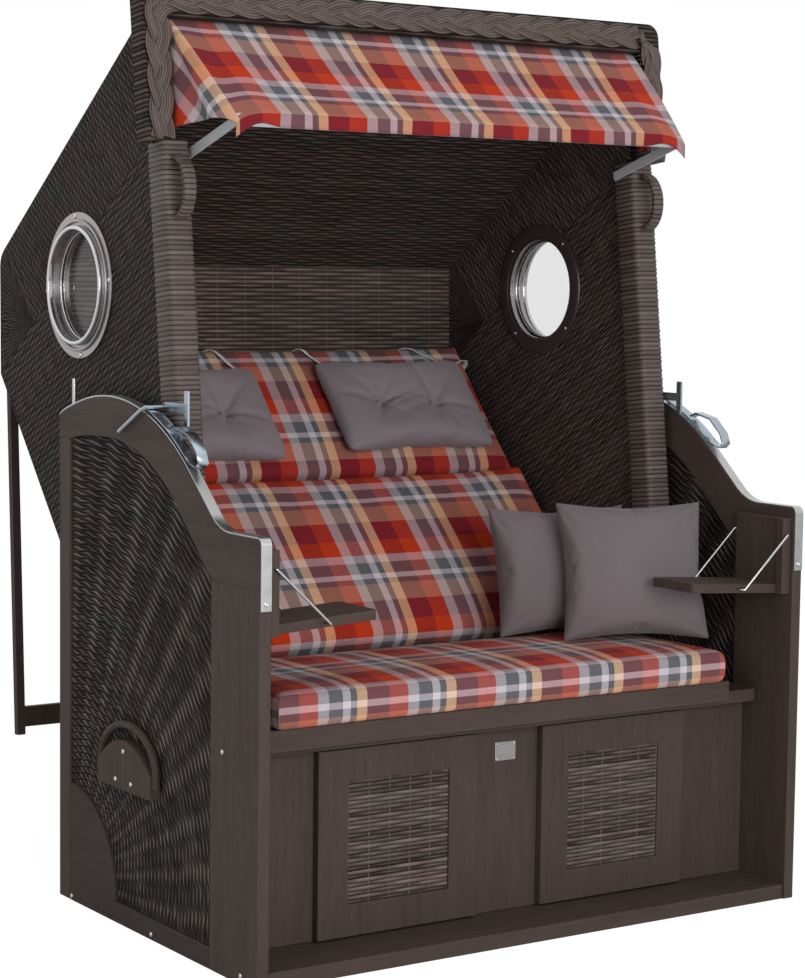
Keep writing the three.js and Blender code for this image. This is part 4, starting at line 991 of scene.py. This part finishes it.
def gusset_spot(g, v, hem):
    spot = awning_top.lerp(awning_front, v).lerp(awning_top.lerp(awning_leg, v), g)
    tip = tip_drop * math.exp(-g * 6) * v**3
    billow = 0.010 * v * math.sin(2 * math.pi * g) ** 2 * (1 if g < 0.5 else 0.4)
    tuck = 0.006 * v * math.sin(3 * math.pi * g) * math.sin(math.pi * g)
    hang = gusset_hem * hem * (1 - g)
    spot += Vector((billow, tuck, -tip - hang))
    out = awning_top.x + g * leg_out * v
    return spot, (out, v * (slope_length + g * (leg_down - slope_length)) + hang)


def awning_spot(i, v, hem):
    main = i - gusset_steps
    if 0 <= main <= across_steps:
        spot, mark = slope_spot(main / across_steps, v, hem)
    elif main > 0:
        spot, mark = gusset_spot((main - across_steps) / gusset_steps, v, hem)
    else:
        spot, mark = gusset_spot(-main / gusset_steps, v, hem)
        spot.x, mark = -spot.x, (-mark[0], mark[1])
    return spot, (mark[0] + plaid_across, mark[1] + plaid_along)


columns = across_steps + 2 * gusset_steps + 1
points, places, faces = [], [], []
for j in range(slope_steps + hem_steps + 1):
    v = min(1.0, j / slope_steps)
    hem = max(0, j - slope_steps) / hem_steps
    for i in range(columns):
        spot, mark = awning_spot(i, v, hem)
        points.append(spot)
        places.append(mark)
for j in range(slope_steps + hem_steps):
    for i in range(columns - 1):
        a = j * columns + i
        at_side = i < gusset_steps or i >= gusset_steps + across_steps
        if at_side and j >= slope_steps:
            continue
        if at_side and j == 0:
            tip_column = gusset_steps if i < gusset_steps else gusset_steps + across_steps
            faces.append((tip_column, a + 1 + columns, a + columns))
        else:
            faces.append((a, a + 1, a + 1 + columns, a + columns))
used = sorted({corner for face in faces for corner in face})
fresh = {old: new for new, old in enumerate(used)}
sewn_faces = [tuple(fresh[k] for k in face) for face in faces]
awning = sewn_mesh("awning_sheet", [points[k] for k in used], sewn_faces, [places[k] for k in used], plaid)
thick = awning.modifiers.new("cloth_thickness", "SOLIDIFY")
thick.thickness = 0.0014
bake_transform(awning)
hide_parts("awning_cloth")

# Cushions: foam in checked covers on the bench and on the sloping back, straight-sided with
# rounded edges; the covers are sewn from one cloth, so the checks run on over the front edge.


def closed_cover(name, columns, rows, spot_at, look):
    points, places, faces, seen = [], [], [], {}

    def vertex(i, j, side):
        sign = 0 if i in (0, columns) or j in (0, rows) else side
        if (i, j, sign) not in seen:
            seen[i, j, sign] = len(points)
            point, mark = spot_at(i, j, sign)
            points.append(point)
            places.append(mark)
        return seen[i, j, sign]

    for side in (1, -1):
        for i in range(columns):
            for j in range(rows):
                corners = ((i, j), (i + 1, j), (i + 1, j + 1), (i, j + 1))
                quad = [vertex(*corner, side) for corner in corners]
                faces.append(quad if side > 0 else quad[::-1])
    return sewn_mesh(name, points, faces, places, look)


cover_cell = 0.015


def edge_places(size, edge):
    between = round(size / cover_cell)
    near = [0.0, 0.03 * edge, 0.12 * edge, 0.3 * edge, 0.58 * edge]
    middle = [edge + (size - 2 * edge) * i / between for i in range(between + 1)]
    return near + middle + [size - place for place in reversed(near)]


squareness = 3.6


def box_cushion(name, width, length, thickness, origin, weft_share, foot=None):
    foot = foot or thickness
    edge = 0.3 * thickness
    crown = thickness / 22
    draw_in = thickness / 16
    across, along = edge_places(width, edge), edge_places(length, edge)

    def spot_at(i, j, sign):
        a, b = across[i], along[j]
        u, v = a / width, b / length
        local = foot + (thickness - foot) * v
        to_side, to_end = min(a, width - a), min(b, length - b)
        from_rim = min(1.0, min(to_side, to_end) / edge)
        half = local / 2 * (1 - (1 - from_rim) ** squareness) ** (1 / squareness)
        bulge = crown * 16 * u * (1 - u) * v * (1 - v) if sign > 0 else 0.0
        x = (u - 0.5) * (width - draw_in * 4 * v * (1 - v))
        y = (v - 0.5) * (length - draw_in * 4 * u * (1 - u)) + length / 2
        z = local / 2 + sign * half + bulge
        drop = max(0.0, local - z)
        aside = drop * (-1 if a < width / 2 else 1) if to_side < to_end else 0.0
        fall = 0.0 if to_side < to_end else drop * (-1 if b < length / 2 else 1)
        return (x, y, z), (x + aside + origin[0], (origin[1] - y - fall) * weft_share)

    return closed_cover(name, len(across) - 1, len(along) - 1, spot_at, plaid)


def stuffed(piece, pressure, stiffness, cap, pinned=()):
    start = [point.co.copy() for point in piece.data.vertices]
    frames = 20
    cloth = piece.modifiers.new("stuffing", "CLOTH")
    cover = cloth.settings
    cover.quality = 5
    cover.mass = 0.3
    cover.tension_stiffness = cover.compression_stiffness = stiffness
    cover.shear_stiffness = stiffness / 3
    cover.bending_stiffness = 0.4
    cover.use_pressure = True
    cover.uniform_pressure_force = pressure
    cover.effector_weights.gravity = 0
    cloth.collision_settings.use_collision = False
    cloth.point_cache.frame_start = 1
    cloth.point_cache.frame_end = frames
    if pinned:
        held = piece.vertex_groups.new(name="buttons")
        held.add(list(pinned), 1.0, "REPLACE")
        cover.vertex_group_mass = "buttons"
    for instant in range(1, frames + 1):
        scene.frame_set(instant)
    filled = piece.evaluated_get(bpy.context.evaluated_depsgraph_get()).data
    ends = [point.co.copy() for point in filled.vertices]
    piece.modifiers.remove(cloth)
    scene.frame_set(1)
    for point, old, new in zip(piece.data.vertices, start, ends):
        move = new - old
        if move.length > cap:
            move *= cap / move.length
        point.co = old + move
    return start


flat_foot = 0.02


def filled_foam(piece, length, cap):
    start = stuffed(piece, pressure=4.0, stiffness=30.0, cap=cap)
    left, right = min(spot.x for spot in start), max(spot.x for spot in start)
    for point, old in zip(piece.data.vertices, start):
        point.co.x = min(max(point.co.x, left), right)
        point.co.y = min(max(point.co.y, 0.0), length)
        if old.z < flat_foot:
            point.co.z = max(point.co.z, old.z)
    piece.data.update()


def set_down(piece, matrix):
    piece.data.transform(matrix)
    piece.data.update()


def as_pad(piece, node, body):
    smooth = piece.modifiers.new("smooth_cover", "SUBSURF")
    smooth.levels = 1
    smooth.render_levels = 1
    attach(piece, body)
    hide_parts(node)


back_slope = math.radians(55.6)
slope_foot_back, slope_foot_height = 0.500, 0.546


def on_back(across, run, inside):
    back = slope_foot_back - run * math.cos(back_slope) - inside * math.sin(back_slope)
    height = slope_foot_height - run * math.sin(back_slope) + inside * math.cos(back_slope)
    tipped = Matrix.Rotation(back_slope - lean_back, 4, "X")
    return Matrix.Translation(hood_point(across, back, height)) @ tipped


lining = 0.0203
deck_top = 0.4243
cushion_gap = 0.0003
seat_length, seat_thickness = 0.370, 0.062
seat_middle, seat_front = -0.035, -0.326
head_length, head_thickness, head_run = 0.352, 0.090, 0.370
back_length, back_run = 0.440, 0.8103
back_width = 1.010

seat_pad = box_cushion(
    "seat_cushion_cover",
    width=1.002,
    length=seat_length,
    thickness=seat_thickness,
    origin=(-0.062, 0.1051),
    weft_share=0.95,
)
filled_foam(seat_pad, seat_length, cap=0.006)
set_down(seat_pad, Matrix.Translation((seat_middle, seat_front, deck_top + cushion_gap)))
as_pad(seat_pad, "seat_cushion", "base")

head_pad = box_cushion(
    "head_cushion_cover",
    width=back_width,
    length=head_length,
    thickness=head_thickness,
    origin=(-0.060, 0.245),
    weft_share=0.871,
)
filled_foam(head_pad, head_length, cap=0.007)
set_down(head_pad, on_back(0, head_run, lining))
as_pad(head_pad, "head_cushion", "hood")

back_pad = box_cushion(
    "back_cushion_cover",
    width=back_width,
    length=back_length,
    thickness=0.118,
    origin=(-0.034, 0.4885),
    weft_share=0.924,
    foot=0.148,
)
filled_foam(back_pad, back_length, cap=0.008)
set_down(back_pad, on_back(0, back_run, lining))
as_pad(back_pad, "back_cushion", "hood")

# Loose pillows: two tufted ones for the neck and two thrown on the seat, in plain grey cloth.
# They have thin sewn edges and long corners, and the tufts pull the neck pillows in.


def plain_cloth(name, low, high):
    made, tree, shader = material(
        name, Roughness=0.9, Sheen_Weight=0.2, Sheen_Roughness=0.4, Specular_IOR_Level=0.2
    )
    spot = cloth_place(tree)
    across, along, _ = parted(tree, spot)
    rows = reckon(tree, "SINE", times(tree, across, 5200.0))
    cols = reckon(tree, "SINE", times(tree, along, 5200.0))
    fuzz = noise(tree, spot, 500.0, 3.0)
    colour = blended(tree, ranged(tree, fuzz, 0.3, 0.7), linear(low), linear(high))
    tree.links.new(colour, shader.inputs["Base Color"])
    relief(tree, shader, plus(tree, times(tree, rows, cols), fuzz), 0.0002, 0.5)
    return made


# The neck pillows get a lighter copy of the throw pillows' grey: painted light for the pillows under the
# hood.
lit_neck_cloth = plain_cloth("neck_pillow_cloth_painted_light", "7f757a", "94898e")
throw_cloth = plain_cloth("throw_pillow_cloth", "6b6265", "7c7275")
pleats = (
    (0.0, 0.060),
    (0.95, 0.038),
    (1.9, 0.050),
    (2.55, 0.034),
    (3.2, 0.060),
    (4.2, 0.036),
    (5.1, 0.042),
)


def seam_gathers(away, run, side):
    gathered = max(0.0, math.sin(run / 0.0062 + 2.1 * math.sin(run / 0.031 + side)))
    return 0.0017 * gathered * math.exp(-away / 0.018) * min(1.0, away / 0.006)


def tuft_pleats(dx, dy, share):
    depth = 0.010 * math.exp(-((dx * dx + dy * dy) / 0.0002))
    for heading, reach in pleats:
        turn = heading + 0.35 * math.sin(7 * share + heading)
        forth = dx * math.cos(turn) + dy * math.sin(turn)
        aside = dy * math.cos(turn) - dx * math.sin(turn) - 0.12 * forth * math.sin(3 * heading)
        if forth > 0:
            across_pleat = math.exp(-((aside / (0.005 + 0.06 * forth)) ** 2))
            depth += 0.0135 * across_pleat * math.exp(-forth / reach) * min(1.0, forth / 0.008)
    return depth


def corner_folds(to_side, to_end, right, far):
    spread = math.atan2(to_end, to_side + 0.0001)
    fold = max(0.0, math.cos(9 * spread + 1.3 * right + 2.2 * far)) ** 2
    return 0.0045 * fold * math.exp(-((math.hypot(to_side, to_end) - 0.035) ** 2) / 0.0012)


def crease_depth(a, b, width, length, tufts, side):
    to_side, to_end = width / 2 - abs(a), length / 2 - abs(b)
    if to_side < to_end:
        depth = seam_gathers(to_side, b, side)
    else:
        depth = seam_gathers(to_end, a, side)
    for share in tufts:
        depth += tuft_pleats(a - (share - 0.5) * width, b, share)
    if not tufts:
        depth += corner_folds(to_side, to_end, a > 0, b > 0)
    return depth


pillow_steps = 64
button_reach = 0.007


def loose_pillow(name, width, length, thickness, tufts, look, round_off=0.0, fullness=0.42):
    draw_in = thickness / 9
    spots = []

    def from_tuft(u, v, share):
        return math.hypot((u - share) * width, (v - 0.5) * length)

    def spot_at(i, j, sign):
        u, v = i / pillow_steps, j / pillow_steps
        belly = 16 * u * (1 - u) * v * (1 - v)
        pressed = 1.0
        for share in tufts:
            pressed *= 1 - 0.62 * math.exp(-from_tuft(u, v, share) / 0.034)
        x = (u - 0.5) * (width - draw_in * 4 * v * (1 - v) - round_off * (2 * v - 1) ** 12)
        y = (v - 0.5) * (length - draw_in * 4 * u * (1 - u) - round_off * (2 * u - 1) ** 12)
        spots.append((u, v, sign))
        return (x, y, sign * thickness / 2 * belly**fullness * pressed), (x, y)

    pillow = closed_cover(name, pillow_steps, pillow_steps, spot_at, look)
    pinned = []
    for k, (u, v, _) in enumerate(spots):
        if any(from_tuft(u, v, share) < button_reach for share in tufts):
            pinned.append(k)
    stuffed(pillow, pressure=2.5, stiffness=8.0, cap=0.010, pinned=pinned)
    for point, (u, v, sign) in zip(pillow.data.vertices, spots):
        a, b = (u - 0.5) * width, (v - 0.5) * length
        point.co.z -= sign * crease_depth(a, b, width, length, tufts, sign)
        if tufts and sign < 0:
            point.co.z = max(point.co.z, -thickness / 2)
    pillow.data.update()
    return pillow


neck_width, neck_length, neck_thickness = 0.375, 0.235, 0.070
tuft_shares = (0.32, 0.7)
neck_rise = lining + head_thickness * (1 + 1 / 14) + cushion_gap + neck_thickness / 2
for side, across, run, sink in (("right", 0.256, 0.2145, 0.0068), ("left", -0.264, 0.2285, 0.0073)):
    pillow = loose_pillow(
        f"neck_pillow_cover_{side}",
        neck_width,
        neck_length,
        neck_thickness,
        tuft_shares,
        lit_neck_cloth,
        round_off=0.011,
        fullness=0.32,
    )
    set_down(pillow, on_back(across, run, neck_rise - sink))
    as_pad(pillow, f"neck_pillow_{side}", "hood")


throw_width, throw_thickness = 0.302, 0.104
throw_lean = math.radians(16)


def throw_pillow(end, tall, across, back, lift, turn):
    height = deck_top + seat_thickness + tall / 2 * math.cos(throw_lean) + lift
    name = f"throw_pillow_cover_{end}"
    pillow = loose_pillow(name, throw_width, tall, throw_thickness, (), throw_cloth)
    stand = Matrix.Translation((across, back, height)) @ Matrix.Rotation(math.radians(turn), 4, "Z")
    set_down(pillow, stand @ Matrix.Rotation(math.pi / 2 - throw_lean, 4, "X"))
    as_pad(pillow, f"throw_pillow_{end}", "base")


throw_pillow("front", tall=0.280, across=0.378, back=-0.138, lift=0.0042, turn=-21.5)
throw_pillow("rear", tall=0.264, across=0.308, back=-0.005, lift=0.0026, turn=-12)

# Straps of the neck pillows: flat white elastic, sewn to the pillows' top corners and led over the
# head cushion's top edge, down behind it.

elastic, tree, shader = material("white_elastic", Roughness=0.8, Specular_IOR_Level=0.2)
ribs = reckon(tree, "SINE", times(tree, parted(tree, cloth_place(tree))[0], 4200.0))
shade = ranged(tree, ribs, -1.0)
tree.links.new(blended(tree, shade, linear("dedcdc"), linear("f6f4f4")), shader.inputs["Base Color"])
relief(tree, shader, ribs, 0.0002, 0.5)
strap_section = rounded_section(0.0048, 0.0007, 0.0006, 2)
inside_cushion = (0.19, 0.065)


def smooth_line(spots):
    line = []
    for i in range(len(spots) - 1):
        a, b = spots[i], spots[i + 1]
        before, after = spots[max(0, i - 1)], spots[min(len(spots) - 1, i + 2)]
        for k in range(6):
            t = k / 6
            bend = (2 * before - 5 * a + 4 * b - after) * t * t + (3 * a - before - 3 * b + after) * t**3
            line.append(0.5 * (2 * a + (b - before) * t + bend))
    return line + [spots[-1]]


def strap(name, route):
    line = smooth_line([on_back(*spot).translation for spot in route])
    middle = on_back(route[0][0], *inside_cushion).translation
    rings, marks, run = [], [], 0.0
    for i, spot in enumerate(line):
        ahead = (line[min(i + 1, len(line) - 1)] - line[max(i - 1, 0)]).normalized()
        run += (spot - line[i - 1]).length if i else 0.0
        out = spot - middle
        out = (out - ahead * out.dot(ahead)).normalized()
        side = ahead.cross(out)
        rings.append([spot + side * a + out * b for a, b in strap_section])
        marks.append([(run, k * 0.001) for k in range(len(strap_section))])
    made = tube_mesh(name, rings, marks, elastic)
    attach(made, "hood")


over_edge = (
    (0.055, 0.1180),
    (0.041, 0.1145),
    (0.031, 0.108),
    (0.024, 0.098),
    (0.0205, 0.084),
    (0.0195, 0.06),
    (0.0195, 0.034),
)
around_end = (
    (0.432, 0.106, 0.140),
    (0.452, 0.092, 0.131),
    (0.476, 0.080, 0.1245),
    (0.496, 0.072, 0.112),
    (0.5075, 0.068, 0.092),
    (0.5085, 0.066, 0.06),
    (0.5085, 0.066, 0.034),
)
for name, low, high, run in (
    ("left", -0.104, -0.136, 0.112),
    ("middle", 0.104, 0.082, 0.100),
    ("right", 0.412, 0.352, 0.100),
):
    route = [(low, run, 0.138), (low + (high - low) * 0.25, run - 0.022, 0.1275)]
    for index, (along, inside) in enumerate(over_edge):
        route.append((low + (high - low) * min(1.0, 0.55 + 0.15 * index), along, inside))
    strap(f"pillow_strap_{name}", route)
strap("pillow_strap_end", around_end)

# Screws and the bare plate: raised steel screw heads on the woodwork, the handles and the porthole
# flanges, and a small aluminium plate on four pins at the middle of the front panel.

head_profile = ((1.0, 0.0), (0.97, 0.2), (0.74, 0.42), (0.34, 0.5), (0.22, 0.26))
head_sides = 12


def screw_heads(name, spots, radius, body):
    points, faces = [], []
    for centre, facing in spots:
        out = Vector(facing).normalized()
        side = out.orthogonal().normalized()
        up = out.cross(side)
        start = len(points)
        for share, lift in head_profile:
            for k in range(head_sides):
                angle = 2 * math.pi * k / head_sides
                across = side * math.cos(angle) + up * math.sin(angle)
                points.append(Vector(centre) + across * radius * share + out * radius * lift)
        last = start + head_sides * (len(head_profile) - 1)
        for ring in range(start, last, head_sides):
            for k in range(head_sides):
                a, b = ring + k, ring + (k + 1) % head_sides
                faces.append((a, b, b + head_sides, a + head_sides))
        faces.append(tuple(range(start + head_sides - 1, start - 1, -1)))
        faces.append(tuple(range(last, last + head_sides)))
    made = plain_mesh(name, points, faces, bright)
    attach(made, body)


def around_porthole(x, reach, first_degrees):
    spots = []
    for quarter in range(4):
        angle = math.radians(first_degrees + 90 * quarter)
        spots.append(porthole_middle + Vector((x, reach * math.cos(angle), reach * math.sin(angle))))
    return spots


panel_face, block_face = 0.6, 0.6153
panel_spots = ((-0.255, 0.386), (0.323, 0.008), (0.0, 0.010), (-0.321, 0.015))
block_spots = ((0.051, 0.275), (0.111, 0.275), (0.081, 0.330))
strip_screw = (0.58875, -0.3793, 0.652)
flange_face, dark_ring_face = 0.5623, 0.5223
for side, sign in (("left", -1), ("right", 1)):
    out, back_in = (sign, 0, 0), (-sign, 0, 0)
    panel = [((sign * panel_face, *spot), out) for spot in panel_spots]
    panel += [((sign * block_face, *spot), out) for spot in block_spots]
    panel.append(((sign * strip_screw[0], *strip_screw[1:]), (0, -1, 0)))
    screw_heads(f"panel_screws_{side}", panel, radius=0.0048, body="base")
    rim = [(spot, out) for spot in around_porthole(sign * flange_face, 0.131, 85)]
    rim += [(spot, back_in) for spot in around_porthole(sign * dark_ring_face, 0.1255, 40)]
    screw_heads(f"porthole_screws_{side}", rim, radius=0.0052, body="hood")

plate_height = 0.3265
plate_back, plate_edge, plate_face = 0.2453, 0.2462, 0.2465
plate_section = rounded_section(0.023, 0.0175, 0.0025)
rings, marks = [], []
for depth, share in ((plate_back, 1.0), (plate_edge, 1.0), (plate_face, 0.97)):
    rings.append([(a * share, -depth, plate_height + b * share) for a, b in plate_section])
    marks.append([(x, z) for x, _, z in rings[-1]])
plate_metal = metal("plate_aluminium", "b9b6b5", "8f8b8a", 0.3, 0.5, (8, 60, 60))
plate = tube_mesh("bare_plate", rings, marks, plate_metal)
plate.data.polygons.foreach_set("use_smooth", [False] * len(plate.data.polygons))
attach(plate, "base")
pin_spots = [(x, -plate_face, plate_height + z) for x in (-0.019, 0.019) for z in (-0.0137, 0.0137)]
screw_heads("plate_pins", [(spot, (0, -1, 0)) for spot in pin_spots], radius=0.0018, body="base")
